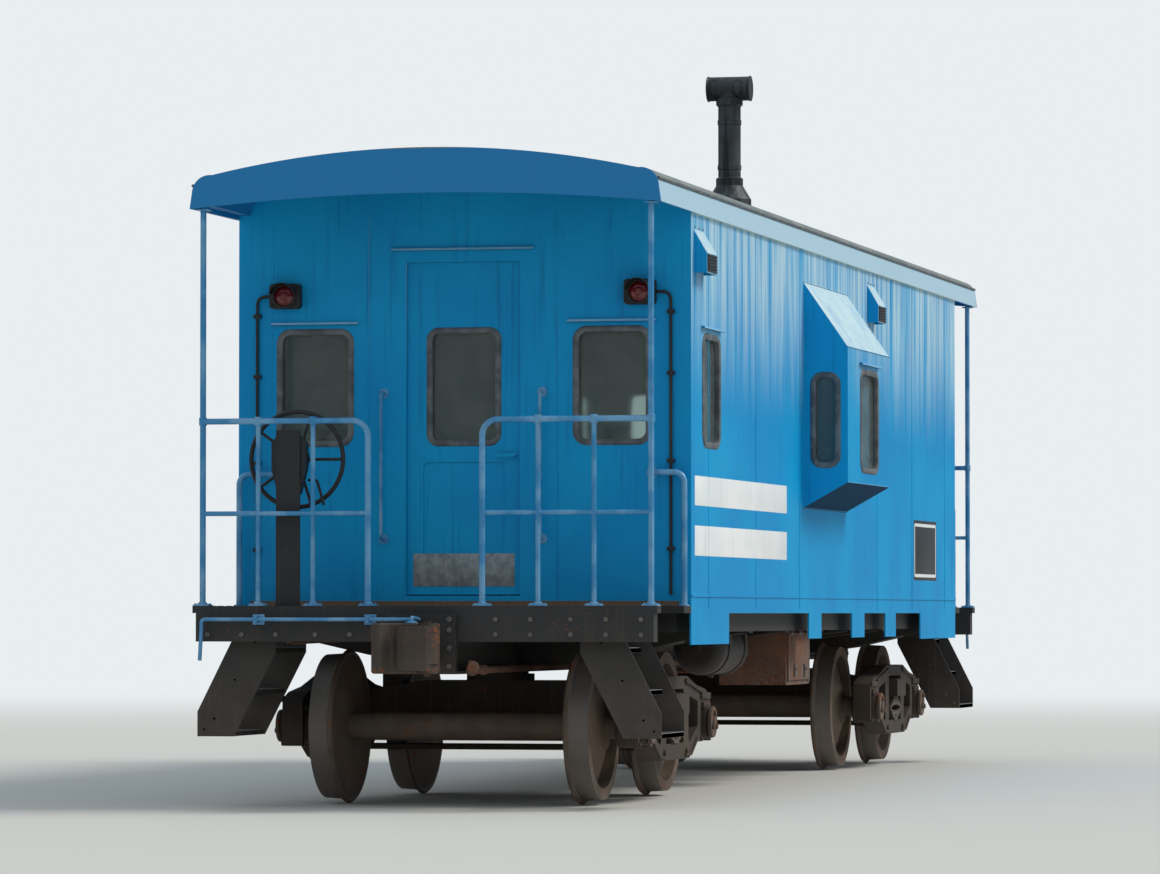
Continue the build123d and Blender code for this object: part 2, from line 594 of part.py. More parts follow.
# Outlines from above, for end a: the head with its guard arm, the arm of the lugs, the knuckle, and its nose
head_outline = ((5690, -70), (5760, -165), (5850, -185), (5945, -175), (5962, -120), (5890, -85), (5850, -20),
                (5846, 60), (5800, 68), (5778, 118), (5800, 170), (5745, 165), (5690, 70))
lug_outline = ((5740, 150), (5740, 75), (5800, 60), (knuckle_pin_x, 73), (knuckle_pin_x, 163), (5800, 168))
knuckle_outline = ((5806, 171), (5785, 119), (5805, 74), (5852, 66), (5868, 40), (5862, -28), (5900, -42),
                   (5925, 10), (pulling_face, 70), (5915, 130), (5875, 172))
nose_outline = ((5890, -36), (5900, -42), (5925, 10), (pulling_face, 70), (5915, 130), (5890, 152))
for end_name, end in ends:
    pin_place = (end * knuckle_pin_x, end * knuckle_pin_y)
    with BuildPart() as coupler:
        with BuildSketch(Plane.XY.offset(coupler_height - head_half_height)):
            with BuildLine():
                FilletPolyline(*[(end * x, end * y) for x, y in head_outline], radius=12, close=True)
            make_face()
        extrude(amount=2 * head_half_height)
        chamfer(coupler.faces().filter_by(Axis.Z).edges(), 10)
        for lug_bottom in (coupler_height - head_half_height, coupler_height + hub_half_height + 2):
            with BuildSketch(Plane.XY.offset(lug_bottom)):
                Polygon(*[(end * x, end * y) for x, y in lug_outline], align=None)
                with Locations(pin_place):
                    Circle(lug_radius)
            extrude(amount=lug_height)
        bar((*pin_place, coupler_height - head_half_height - 16), (*pin_place, coupler_height + head_half_height + 12),
            knuckle_pin_radius)
        x_low, x_high = sorted((end * 5150, end * 5720))
        block((x_low, -shank_half_width, coupler_height - shank_half_height),
              (x_high, shank_half_width, coupler_height + shank_half_height))
        x_low, x_high = sorted((end * 4950, end * 5150))
        block((x_low, -(sill_half_width - sill_web), coupler_height - 125),
              (x_high, sill_half_width - sill_web, coupler_height + 125))
        # Horn: stands above the shank behind the head
        x_low, x_high = sorted((end * 5645, end * 5705))
        block((x_low, -78, coupler_height + 60), (x_high, 78, coupler_height + 132))
    coupler.part.label = f"coupler_{end_name}"
    export_step(coupler.part, f"parts/coupler_{end_name}.step")
    with BuildPart() as knuckle:
        for outline, half_height in ((knuckle_outline, hub_half_height), (nose_outline, nose_half_height)):
            with BuildSketch(Plane.XY.offset(coupler_height - half_height)):
                Polygon(*[(end * x, end * y) for x, y in outline], align=None)
            extrude(amount=2 * half_height)
        bar((*pin_place, coupler_height - hub_half_height), (*pin_place, coupler_height + hub_half_height),
            knuckle_pin_radius + 0.6, mode=Mode.SUBTRACT)
    knuckle.part.label = f"knuckle_{end_name}"
    export_step(knuckle.part, f"parts/knuckle_{end_name}.step")

# Train pipe with an angle cock at each end, and the clamps that hold it to the centre sill's foot
pipe_y = -300
pipe_z = 778
pipe_outer_radius = 21
sill_foot_edge = sill_half_width + 60
with BuildPart() as train_pipe:
    bar((-5560, pipe_y, pipe_z), (5560, pipe_y, pipe_z), pipe_outer_radius)
    for end_name, end in ends:
        bar((end * 5560, pipe_y, pipe_z), (end * 5640, pipe_y - 30, pipe_z + 20), 33)
        bar((end * 5590, pipe_y, pipe_z), (end * 5590, pipe_y, pipe_z + 55), 12)
train_pipe.part.label = "train_pipe"
export_step(train_pipe.part, "parts/train_pipe.step")
with BuildPart() as pipe_clamps:
    for clamp_x in (-5300, -2600, -900, 900, 2600, 5300):
        with BuildSketch(Plane.YZ.offset(clamp_x - 25)):
            with Locations((pipe_y, pipe_z)):
                Circle(pipe_outer_radius + 7)
            Polygon((pipe_y, pipe_z - 21), (-sill_foot_edge, pipe_z - 21), (-sill_foot_edge, pipe_z - 7),
                    (pipe_y, pipe_z - 7), align=None)
            with Locations((pipe_y, pipe_z)):
                Circle(pipe_outer_radius + 0.5, mode=Mode.SUBTRACT)
        extrude(amount=50)
pipe_clamps.part.label = "pipe_clamps"
export_step(pipe_clamps.part, "parts/pipe_clamps.step")

# Air reservoir under the floor, with two straps up to it
tank_y = -850
tank_z = 880
tank_radius = 165
tank_start = -2130
tank_end = -1310
with BuildPart() as air_reservoir:
    bar((tank_start, tank_y, tank_z), (tank_end, tank_y, tank_z), tank_radius)
    fillet(air_reservoir.edges().filter_by(GeomType.CIRCLE), 75)
    for strap_x in (-1980, -1500):
        with BuildSketch(Plane.YZ.offset(strap_x)):
            with Locations((tank_y, tank_z)):
                Circle(tank_radius + 8)
            with Locations((tank_y, tank_z)):
                Rectangle(2 * tank_radius + 16, sheet_bottom - tank_z, align=(Align.CENTER, Align.MIN))
            with Locations((tank_y, tank_z)):
                Rectangle(2 * tank_radius, sheet_bottom - tank_z, align=(Align.CENTER, Align.MIN), mode=Mode.SUBTRACT)
        extrude(amount=50)
air_reservoir.part.label = "air_reservoir"
export_step(air_reservoir.part, "parts/air_reservoir.step")

# Brake cylinder and control valve on the other side of the sill
with BuildPart() as brake_cylinder:
    bar((300, 620, 920), (760, 620, 920), 130)
    bar((760, 620, 920), (800, 620, 920), 150)
    bar((800, 620, 920), (1020, 620, 920), 22)
    block((360, 560, 1020), (700, 680, sheet_bottom))
brake_cylinder.part.label = "brake_cylinder"
export_step(brake_cylinder.part, "parts/brake_cylinder.step")

# Tool box under the floor at mid length
with BuildPart() as tool_box:
    block((-950, -1170, 640), (-180, -740, sheet_bottom))
    block((-920, -1182, 670), (-210, -1170, 970))
tool_box.part.label = "tool_box"
export_step(tool_box.part, "parts/tool_box.step")

# Inside: stove with its pipe, bay seats, bunks, locker and desk
with BuildPart() as stove:
    with BuildSketch(Plane.XZ.offset(-stack_y)):
        Polygon((stack_x, 1285), (stack_x + 180, 1285), (stack_x + 205, 1340), (stack_x + 205, 1820),
                (stack_x + 150, 1900), (stack_x + 65, 1930), (stack_x + 65, 3515), (stack_x, 3515), align=None)
    revolve(axis=Axis((stack_x, stack_y, 0), (0, 0, 1)))
    with Locations((stack_x, stack_y, floor_top)):
        with PolarLocations(140, 3):
            Cylinder(16, 130, align=(Align.CENTER, Align.CENTER, Align.MIN))
stove.part.label = "stove"
export_step(stove.part, "parts/stove.step")

with BuildPart() as seat_bases:
    for side_name, side in sides:
        for end_name, end in ends:
            x_low, x_high = sorted((bay_centre + end * 230, bay_centre + end * 640))
            y_low, y_high = sorted((side * 840, side * 1260))
            block((x_low, y_low, floor_top), (x_high, y_high, 1600))
seat_bases.part.label = "seat_bases"
export_step(seat_bases.part, "parts/seat_bases.step")

with BuildPart() as seat_cushions:
    for side_name, side in sides:
        for end_name, end in ends:
            x_low, x_high = sorted((bay_centre + end * 215, bay_centre + end * 645))
            y_low, y_high = sorted((side * 835, side * 1263))
            block((x_low, y_low, 1600), (x_high, y_high, 1705))
            x_low, x_high = sorted((bay_centre + end * 650, bay_centre + end * 740))
            block((x_low, y_low, 1610), (x_high, y_high, 2190))
seat_cushions.part.label = "seat_cushions"
export_step(seat_cushions.part, "parts/seat_cushions.step")

with BuildPart() as bunks:
    for side_name, side in sides:
        y_low, y_high = sorted((side * 620, side * inner_y))
        block((1500, y_low, floor_top), (3400, y_high, 1560))
bunks.part.label = "bunks"
export_step(bunks.part, "parts/bunks.step")

with BuildPart() as bunk_mattresses:
    for side_name, side in sides:
        y_low, y_high = sorted((side * 640, side * (inner_y - 10)))
        block((1510, y_low, 1560), (3390, y_high, 1680))
bunk_mattresses.part.label = "bunk_mattresses"
export_step(bunk_mattresses.part, "parts/bunk_mattresses.step")

with BuildPart() as locker:
    block((-3300, 560, floor_top), (-2400, inner_y, 3380))
locker.part.label = "locker"
export_step(locker.part, "parts/locker.step")

with BuildPart() as desk:
    block((-2350, 720, 1900), (-1300, inner_y, 1940))
    block((-2330, 740, floor_top), (-1930, inner_y, 1900))
    block((-1340, 740, floor_top), (-1310, inner_y, 1900))
desk.part.label = "desk"
export_step(desk.part, "parts/desk.step")


# Trucks
axle_places = []
for end_name, end in ends:
    truck_x = end * truck_centre
    wheel_places = (truck_x + wheelbase / 2, truck_x - wheelbase / 2)
    axle_places.extend((end_name, end, x) for x in wheel_places)
    half_base = wheelbase / 2

    # Truck frame: two cast side frames with bearings, joined by the spring plank
    with BuildPart() as truck_frame:
        for frame_y in (frame_outer_y, -frame_inner_y):
            with BuildSketch(Plane(origin=(truck_x, frame_y, 0), x_dir=(1, 0, 0), z_dir=(0, -1, 0))):
                outline = [(330, frame_top), (600, 668), (860, 640), (985, 600), (985, 330), (600, 330),
                           (400, frame_bottom)]
                mirrored = [(-x, z) for x, z in reversed(outline)]
                with BuildLine():
                    FilletPolyline(*outline, *mirrored, radius=28, close=True)
                make_face()
                with Locations((0, (spring_seat_low + 650) / 2)):
                    Rectangle(480, 650 - spring_seat_low, mode=Mode.SUBTRACT)
                hole = [(375, 612), (640, 572), (640, 420), (575, 405), (440, 340), (375, 335)]
                for flip in (1, -1):
                    with BuildLine():
                        FilletPolyline(*[(flip * x, z) for x, z in hole], radius=22, close=True)
                    make_face(mode=Mode.SUBTRACT)
                    with Locations((flip * half_base, 431)):
                        Rectangle(212, 262, mode=Mode.SUBTRACT)
            extrude(amount=frame_outer_y - frame_inner_y)
        for axle_x in wheel_places:
            for side_name, side in sides:
                bar((axle_x, side * 905, axle_height), (axle_x, side * 1075, axle_height), bearing_radius)
                y_low, y_high = sorted((side * 915, side * 1065))
                block((axle_x - 96, y_low, 530), (axle_x + 96, y_high, 562))
                bar((axle_x, side * 900, axle_height), (axle_x, side * 1080, axle_height), journal_radius + 4,
                    mode=Mode.SUBTRACT)
        block((truck_x - 150, -frame_inner_y, 295), (truck_x + 150, frame_inner_y, 325))
    truck_frame.part.label = f"truck_frame_{end_name}"
    export_step(truck_frame.part, f"parts/truck_frame_{end_name}.step")

    # Truck bolster with the centre bowl and the side bearings
    with BuildPart() as bolster:
        with BuildSketch(Plane.YZ.offset(truck_x - bolster_half_width)):
            half_outline = [(0, 700), (420, 700), (800, 640), (1100, 625), (1100, spring_seat_high),
                            (860, spring_seat_high), (700, 450), (300, 420), (0, 420)]
            mirrored = [(-y, z) for y, z in reversed(half_outline[1:-1])]
            Polygon(*half_outline, *mirrored, align=None)
        extrude(amount=2 * bolster_half_width)
        with Locations((truck_x, 0, 690)):
            Cylinder(200, 50, align=(Align.CENTER, Align.CENTER, Align.MIN))
        with Locations((truck_x, 0, bowl_floor)):
            Cylinder(plate_radius + 7, 60, align=(Align.CENTER, Align.CENTER, Align.MIN), mode=Mode.SUBTRACT)
        with Locations((truck_x, 0, 600)):
            Cylinder(king_pin_radius + 5, 200, align=(Align.CENTER, Align.CENTER, Align.MIN), mode=Mode.SUBTRACT)
        for side_name, side in sides:
            block((truck_x - 90, side * 635 - 60, 640), (truck_x + 90, side * 635 + 60, 760))
    bolster.part.label = f"bolster_{end_name}"
    export_step(bolster.part, f"parts/bolster_{end_name}.step")

    # Elliptic leaf springs under the bolster's ends
    with BuildPart() as springs:
        for spring_y in (1060, -920):
            with BuildSketch(Plane(origin=(0, spring_y, 0), x_dir=(1, 0, 0), z_dir=(0, -1, 0))):
                middle = (spring_seat_low + spring_seat_high) / 2
                for upper in (True, False):
                    direction = 1 if upper else -1
                    for number, half_span in enumerate((200, 160, 115, 70)):
                        low_radius = 812 + number * 15
                        high_radius = low_radius + 15
                        rim = []
                        for radius in (low_radius, high_radius):
                            angle = asin(half_span / radius)
                            for turn in (-angle, 0, angle):
                                rim.append((truck_x + radius * sin(turn),
                                            middle + direction * (25 - 812 + radius * cos(turn))))
                        with BuildLine():
                            ThreePointArc(rim[0], rim[1], rim[2])
                            Line(rim[2], rim[5])
                            ThreePointArc(rim[5], rim[4], rim[3])
                            Line(rim[3], rim[0])
                        make_face()
                for eye_x in (truck_x - 200, truck_x + 200):
                    with Locations((eye_x, middle)):
                        Circle(16)
                with Locations((truck_x, middle + 53), (truck_x, middle - 53)):
                    Rectangle(60, 64)
            extrude(amount=140)
    springs.part.label = f"springs_{end_name}"
    export_step(springs.part, f"parts/springs_{end_name}.step")

    # Brake beams with their heads and shoes, inside the wheels
    shoe_gap = 6
    with BuildPart() as brake_beams:
        for axle_x, inward in ((truck_x + half_base, -1), (truck_x - half_base, 1)):
            beam_x = axle_x + inward * 500
            block((beam_x - 20, -frame_inner_y, 390), (beam_x + 20, frame_inner_y, 440))
            for side_name, side in sides:
                y_low, y_high = sorted((side * 715, side * 795))
                with BuildSketch(Plane(origin=(axle_x, y_high, axle_height), x_dir=(1, 0, 0), z_dir=(0, -1, 0))):
                    shoe_inner = tread_radius + shoe_gap
                    shoe_outer = shoe_inner + 45
                    tilt = 0.36
                    rim = [(inward * radius * cos(turn), radius * sin(turn)) for radius in (shoe_inner, shoe_outer)
                           for turn in (-tilt, 0, tilt)]
                    with BuildLine():
                        ThreePointArc(rim[0], rim[1], rim[2])
                        Line(rim[2], rim[5])
                        ThreePointArc(rim[5], rim[4], rim[3])
                        Line(rim[3], rim[0])
                    make_face()
                extrude(amount=y_high - y_low)
                x_low, x_high = sorted((beam_x, axle_x + inward * (tread_radius + 40)))
                block((x_low, y_low + 12, 380), (x_high, y_high - 12, 470))
    brake_beams.part.label = f"brake_beams_{end_name}"
    export_step(brake_beams.part, f"parts/brake_beams_{end_name}.step")

# Wheelsets: an axle, its two wheels with flanges and coned treads, and its bearing caps, revolved as one forging
wheel_back = back_to_back / 2
wheel_face = wheel_back + wheel_width
half_profile = [
    (0, axle_radius), (wheel_back - 4, axle_radius), (wheel_back, flange_radius - 12), (wheel_back + 14, flange_radius),
    (wheel_back + 32, tread_radius + 1), (wheel_face, tread_radius - 5), (wheel_face, rim_radius),
    (wheel_back + 68, rim_radius), (wheel_back + 145, hub_radius), (wheel_back + 154, hub_radius),
    (wheel_back + 154, journal_radius), (1085, journal_radius), (1085, bearing_cap_radius),
    (axle_half_length, bearing_cap_radius), (axle_half_length, 0), (0, 0)]
for number, (end_name, end, axle_x) in enumerate(sorted(axle_places, key=lambda place: place[2]), start=1):
    with BuildPart() as wheelset:
        with BuildSketch(Plane.YZ.offset(axle_x)):
            Polygon(*[(y, axle_height - r) for y, r in half_profile], align=None)
        revolve(axis=Axis((axle_x, 0, axle_height), (0, 1, 0)))
        mirror(about=Plane.XZ)
    wheelset.part.label = f"wheelset_{number}"
    export_step(wheelset.part, f"parts/wheelset_{number}.step")
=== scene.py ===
import json
import math

import bmesh
import bpy
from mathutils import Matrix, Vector


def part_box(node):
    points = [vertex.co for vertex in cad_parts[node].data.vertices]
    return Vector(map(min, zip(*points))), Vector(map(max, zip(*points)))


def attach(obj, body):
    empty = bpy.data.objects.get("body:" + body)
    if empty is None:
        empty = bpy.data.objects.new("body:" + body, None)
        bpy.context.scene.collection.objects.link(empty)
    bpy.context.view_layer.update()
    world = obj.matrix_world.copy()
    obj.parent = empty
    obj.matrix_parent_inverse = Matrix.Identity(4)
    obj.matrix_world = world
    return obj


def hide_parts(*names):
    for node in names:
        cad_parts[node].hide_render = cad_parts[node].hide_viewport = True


mm = 0.001
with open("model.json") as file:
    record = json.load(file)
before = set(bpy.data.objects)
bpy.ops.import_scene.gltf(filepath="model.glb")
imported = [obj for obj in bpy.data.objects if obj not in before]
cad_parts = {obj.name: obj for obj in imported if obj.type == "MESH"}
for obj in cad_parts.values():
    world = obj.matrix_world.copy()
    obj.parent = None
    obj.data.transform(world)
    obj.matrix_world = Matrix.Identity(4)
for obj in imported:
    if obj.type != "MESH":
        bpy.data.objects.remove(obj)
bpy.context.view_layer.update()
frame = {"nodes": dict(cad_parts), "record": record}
cad = frame["nodes"]
slotOf = {part["node"]: part["material_slot"] for part in frame["record"]["subparts"]}
ends = (("a", 1), ("b", -1))  # end b, at -X, has the hand brake
sides = (("left", 1), ("right", -1))
bothWays = (1, -1)  # the same order, for what needs only the sign
print("frame loaded:", len(cad), "nodes")


# Colours and nodes

def toLinear(hexColour):  # sRGB hex to linear
    parts = [int(hexColour[i:i + 2], 16) / 255 for i in (1, 3, 5)]
    return [p / 12.92 if p <= 0.04045 else ((p + 0.055) / 1.055) ** 2.4 for p in parts] + [1.0]


def add(tree, kind, settings=None, inputs=None, output=0):  # a node, set up and linked; gives its output
    made = tree.nodes.new(kind)
    for name, value in (settings or {}).items():
        setattr(made, name, value)
    for name, value in (inputs or {}).items():
        if isinstance(value, bpy.types.NodeSocket):
            tree.links.new(value, made.inputs[name])
        else:
            made.inputs[name].default_value = value
    return made.outputs[output]


def maths(tree, operation, first, second=0.0, clamp=False):
    return add(tree, "ShaderNodeMath", {"operation": operation, "use_clamp": clamp}, {0: first, 1: second})


def patches(tree, place, size, detail=4, rough=0.55):  # cloudy pattern whose patches are about size across
    return add(tree, "ShaderNodeTexNoise", {}, {"Vector": place, "Scale": 1 / size, "Detail": detail,
                                                "Roughness": rough})


def ramp(tree, value, start, full):  # 0 at start, 1 at full
    return add(tree, "ShaderNodeMapRange", {"interpolation_type": "SMOOTHSTEP"},
               {"Value": value, "From Min": start, "From Max": full})


def mixed(tree, factor, first, second):  # first where the factor is 0, second where it is 1
    inputs = {"Factor": factor, 6: first, 7: second}
    return add(tree, "ShaderNodeMix", {"data_type": "RGBA"}, inputs, output=2)


def newMaterial(name):
    material = bpy.data.materials.new(name)
    material.use_nodes = True
    tree = material.node_tree
    return material, tree, tree.nodes["Principled BSDF"], add(tree, "ShaderNodeTexCoord", output="Object")


# What weather does to a surface, laid over its own colour in this order: tone patches, run-off streaks, dust
# that gathers low down, rust spots, pale runs on high side faces and on tops (sun chalking and a painted
# reflection of the sky), painted shade on undersides, then the bumps of the sheet and of its grain.
# Sizes and heights are real ones.
plainWeather = {
    "tonePatch": 900 * mm, "toneShare": 0.7,
    "streakWidth": 28 * mm, "streakLength": 900 * mm, "streakStart": 0.56, "streakShare": 0.4,
    "streak": "#4A4A45", "dust": "#8C8275", "dustTop": 1.6, "dustShare": 0.7,
    "rust": "#6A3A22", "rustBright": "#9A5A30", "rustSpot": 22 * mm, "rustStart": 0.92,
    "rough": 0.4, "roughSpread": 0.18, "metal": 0.0, "coat": 0.0, "coatRough": 0.1, "specular": 0.5,
    "wave": 700 * mm, "waveDepth": 0.0, "grain": 12 * mm, "grainDepth": 0.15 * mm,
    # pale runs high on side faces: sun chalk and a painted reflection of the sky; on tops, painted sky
    # reflection
    "chalk": "#C6E2EC", "chalkAndSkyFrom": 2.2, "chalkAndSkyTo": 3.2, "chalkHigh": 0.0, "chalkUp": 0.0,
    "chalkAndSkyRuns": (1 / (170 * mm), 1 / (170 * mm), 1 / (3000 * mm)), "chalkAndSkyStart": 0.62,
    # colour and share of the painted shade laid on faces that look down
    "under": 0.0, "undersideShade": "#0A2236",
}
# Where each layer starts and is full in its own pattern, and how much rougher it leaves the surface
layer = {
    "tone": (0.38, 0.66), "streakEdge": 0.16, "dustPatch": 240 * mm, "dustFullAt": 0.3, "dustRough": 0.3,
    "rustField": 14, "rustFieldShare": 0.5, "rustEdge": 0.06, "rustRough": 0.4, "rustProud": 0.4 * mm,
    "sideways": (0.6, 0.9), "chalkAndSkyStreaks": 0.8, "chalkAndSkyEdge": 0.5, "upward": (0.12, 0.55),
    "downward": (-0.15, -0.6), "underRough": 0.5,
}


def chalkSkyAndShade(tree, look, place, height, streakNoise, colour):  # painted sky reflection with sun chalk up high, painted shade beneath
    facing = add(tree, "ShaderNodeSeparateXYZ", {}, {0: place.node.outputs["Normal"]}, "Z").node.outputs
    sideways = ramp(tree, maths(tree, "ABSOLUTE", facing["Y"]), *layer["sideways"])
    broad = add(tree, "ShaderNodeMapping", {}, {"Vector": place, "Scale": look["chalkAndSkyRuns"]})
    runNoise = maths(tree, "ADD", maths(tree, "MULTIPLY", streakNoise, layer["chalkAndSkyStreaks"]),
                     patches(tree, broad, 1.0, detail=2))
    # Side faces only, high up: sun chalk and a painted reflection of the sky; end faces keep the plain paint
    chalkAndSkyOnSides = maths(tree, "MULTIPLY", ramp(tree, height, look["chalkAndSkyFrom"], look["chalkAndSkyTo"]),
                     ramp(tree, runNoise, look["chalkAndSkyStart"], look["chalkAndSkyStart"] + layer["chalkAndSkyEdge"]))
    chalkAndSkyOnSides = maths(tree, "MULTIPLY", chalkAndSkyOnSides, look["chalkHigh"], clamp=True)
    chalkAndSkyOnSides = maths(tree, "MULTIPLY", chalkAndSkyOnSides, sideways)
    # Faces that look up: a painted reflection of the sky
    paintedSkyRuns = maths(tree, "MULTIPLY", runNoise, look["chalkUp"], clamp=True)
    paintedSkyOnTop = maths(tree, "MULTIPLY", ramp(tree, facing["Z"], *layer["upward"]), paintedSkyRuns)
    colour = mixed(tree, maths(tree, "MAXIMUM", chalkAndSkyOnSides, paintedSkyOnTop), colour, toLinear(look["chalk"]))
    # Faces that look down: painted shade
    shadeBeneath = maths(tree, "MULTIPLY", ramp(tree, facing["Z"], *layer["downward"]), look["under"])
    return mixed(tree, shadeBeneath, colour, toLinear(look["undersideShade"])), shadeBeneath


def weathered(name, paint, faded, **changes):
    look = {**plainWeather, **changes}
    material, tree, shader, place = newMaterial(name)
    height = add(tree, "ShaderNodeSeparateXYZ", {}, {0: place}, output="Z")
    tone = patches(tree, place, look["tonePatch"])
    toned = maths(tree, "MULTIPLY", ramp(tree, tone, *layer["tone"]), look["toneShare"])
    colour = mixed(tree, toned, toLinear(paint), toLinear(faded))
    runScale = (1 / look["streakWidth"], 1 / look["streakWidth"], 1 / look["streakLength"])
    runs = add(tree, "ShaderNodeMapping", {}, {"Vector": place, "Scale": runScale})
    streakNoise = patches(tree, runs, 1.0, detail=3)
    streaks = ramp(tree, streakNoise, look["streakStart"], look["streakStart"] + layer["streakEdge"])
    streaks = maths(tree, "MULTIPLY", streaks, look["streakShare"])
    colour = mixed(tree, streaks, colour, toLinear(look["streak"]))
    low = maths(tree, "MULTIPLY", ramp(tree, height, look["dustTop"], layer["dustFullAt"]),
                patches(tree, place, layer["dustPatch"]))
    dusty = maths(tree, "MULTIPLY", low, look["dustShare"], clamp=True)
    colour = mixed(tree, dusty, colour, toLinear(look["dust"]))
    rustField = patches(tree, place, look["rustSpot"] * layer["rustField"], detail=2)
    spots = maths(tree, "ADD", patches(tree, place, look["rustSpot"], detail=5, rough=0.65),
                  maths(tree, "MULTIPLY", rustField, layer["rustFieldShare"]))
    spots = ramp(tree, spots, look["rustStart"], look["rustStart"] + layer["rustEdge"])
    rustTone = mixed(tree, patches(tree, place, look["rustSpot"] / 3), toLinear(look["rust"]),
                     toLinear(look["rustBright"]))
    colour = mixed(tree, spots, colour, rustTone)
    worn = maths(tree, "ADD", maths(tree, "MULTIPLY", dusty, layer["dustRough"]),
                 maths(tree, "MULTIPLY", spots, layer["rustRough"]))
    if look["chalkHigh"]:
        colour, shadeBeneath = chalkSkyAndShade(tree, look, place, height, streakNoise, colour)
        worn = maths(tree, "ADD", worn, maths(tree, "MULTIPLY", shadeBeneath, layer["underRough"]))
    tree.links.new(colour, shader.inputs["Base Color"])
    worn = maths(tree, "ADD", worn, maths(tree, "MULTIPLY", tone, look["roughSpread"]))
    tree.links.new(maths(tree, "ADD", worn, look["rough"], clamp=True), shader.inputs["Roughness"])
    waves = maths(tree, "MULTIPLY", patches(tree, place, look["wave"], detail=2), look["waveDepth"])
    grain = maths(tree, "MULTIPLY", patches(tree, place, look["grain"], detail=3), look["grainDepth"])
    shape = maths(tree, "ADD", maths(tree, "ADD", waves, grain),
                  maths(tree, "MULTIPLY", spots, layer["rustProud"]))
    tree.links.new(add(tree, "ShaderNodeBump", {}, {"Height": shape, "Distance": 1.0, "Strength": 1.0}),
                   shader.inputs["Normal"])
    shader.inputs["Metallic"].default_value = look["metal"]
    shader.inputs["Coat Weight"].default_value = look["coat"]
    shader.inputs["Coat Roughness"].default_value = look["coatRough"]
    shader.inputs["Specular IOR Level"].default_value = look["specular"]
    return material


def mixBaseColour(material, factor, hexColour):  # lays a colour over what the material has so far
    tree = material.node_tree
    target = tree.nodes["Principled BSDF"].inputs["Base Color"]
    tree.links.new(mixed(tree, factor, target.links[0].from_socket, toLinear(hexColour)), target)


# Materials, each named for the real stuff and how its surface was made

# Enamel sprayed on steel sheet: soft highlights over the sheet's slow waves; pale in runs high on the side
# faces (sun chalking and a painted reflection of the sky), paler on tops (a painted reflection of the sky),
# painted shade beneath
blueEnamel = weathered("blueEnamelOnSheet", "#0091D2", "#06A6DE", rough=0.42, coat=0.04, coatRough=0.2,
                       toneShare=0.6, streak="#0568A6", streakShare=0.4, dust="#1F76A4", dustTop=1.6,
                       dustShare=0.3, wave=620 * mm, waveDepth=2.0 * mm, rustStart=1.04, specular=0.16,
                       chalkHigh=0.85, chalkUp=1.0, under=0.92)
# The same enamel brushed on tube: glossier, with paler patches
railEnamel = weathered("blueEnamelOnTube", "#2F86BE", "#79B0D6", rough=0.3, coat=0.5, tonePatch=180 * mm,
                       streakShare=0.2, rustStart=0.98, dustShare=0.3)
# Bituminous black paint on rolled steel: flat, with road dust and some rust through it
blackFrame = weathered("blackPaintOnRolledSteel", "#17181A", "#2B2C2E", rough=0.5, dust="#6B5F53",
                       dustShare=0.75, dustTop=1.3, rustStart=0.93, streakShare=0.35, streak="#4B3A2E",
                       grainDepth=0.4 * mm)
# Sand-cast steel left to rust: coarse mould grain and brown-black scale
castSteel = weathered("sandCastSteel", "#2A211C", "#43342B", rough=0.62, rustStart=0.86, grain=9 * mm,
                      grainDepth=0.9 * mm, dustShare=0.4, tonePatch=260 * mm, streakShare=0.15)
# Truck castings under brake dust and oil: almost black, brown on top
truckCasting = weathered("oiledTruckCasting", "#1A1714", "#362E28", rough=0.55, rustStart=0.93, grain=10 * mm,
                         grainDepth=0.9 * mm, dust="#5D4C3E", dustShare=0.7, dustTop=1.3, tonePatch=300 * mm)
# Oil-quenched spring leaves: blue-black, brown in between
springSteel = weathered("quenchedSpringSteel", "#241E1B", "#4A3427", rough=0.45, rustStart=0.88, metal=0.3,
                        tonePatch=120 * mm, streakShare=0.2, grainDepth=0.3 * mm)
# Plate whose paint has gone: even red-brown rust
rustedPlate = weathered("rustedSteelPlate", "#4F2A1C", "#7A4528", rough=0.7, rustStart=0.8, rust="#3C2118",
                        rustBright="#8E5230", grain=8 * mm, grainDepth=0.5 * mm, tonePatch=150 * mm)
# Galvanised flue pipe, grey under soot that runs down from the tee
flueSteel = weathered("sootyGalvanisedPipe", "#34383B", "#50565A", rough=0.45, metal=0.3, streak="#121212",
                      streakShare=0.75, streakStart=0.42, streakLength=500 * mm, rustStart=0.97,
                      tonePatch=200 * mm)
# Cast iron with stove black: soft sheen
stoveIron = weathered("blackedStoveIron", "#141414", "#222222", rough=0.4, rustStart=1.1, dustShare=0.1)
# Satin enamel in the cabin: pale green, hand-worn and smoke-yellowed
cabinEnamel = weathered("satinCabinEnamel", "#A3B096", "#C2C3A6", rough=0.38, rustStart=1.2, streakShare=0.15,
                        dustShare=0.4, dust="#5A5346")
# White enamel masked off over the blue, with a thin grey film
whiteEnamel = weathered("whiteStripeEnamel", "#F4F8FA", "#DCE7EC", rough=0.4, coat=0.15, streakShare=0.3,
                        streak="#93A9B5", dustShare=0.2, rustStart=1.1, grainDepth=0.05 * mm)
# Matt black-grey paint of the blank data panels, no highlight; the same dark on the hood slats and their
# plate is painted shade of the louvres' openings
panelPaintAndLouvreShade = weathered("mattPanelPaintAndLouvreShade", "#20262B", "#2E363C", rough=0.5, streakShare=0.2, rustStart=1.2)
# Extruded rubber glazing strip with a grey bloom; the same dark grey makes the bead along the eaves, as
# painted shade
glazingRubberAndEavesShade = weathered("extrudedGlazingRubberAndEavesShade", "#4A5156", "#868E94", rough=0.6, tonePatch=90 * mm,
                          toneShare=0.45, rustStart=1.2, streakShare=0.2, streak="#2E3438", dustShare=0.3,
                          grainDepth=0.1 * mm)
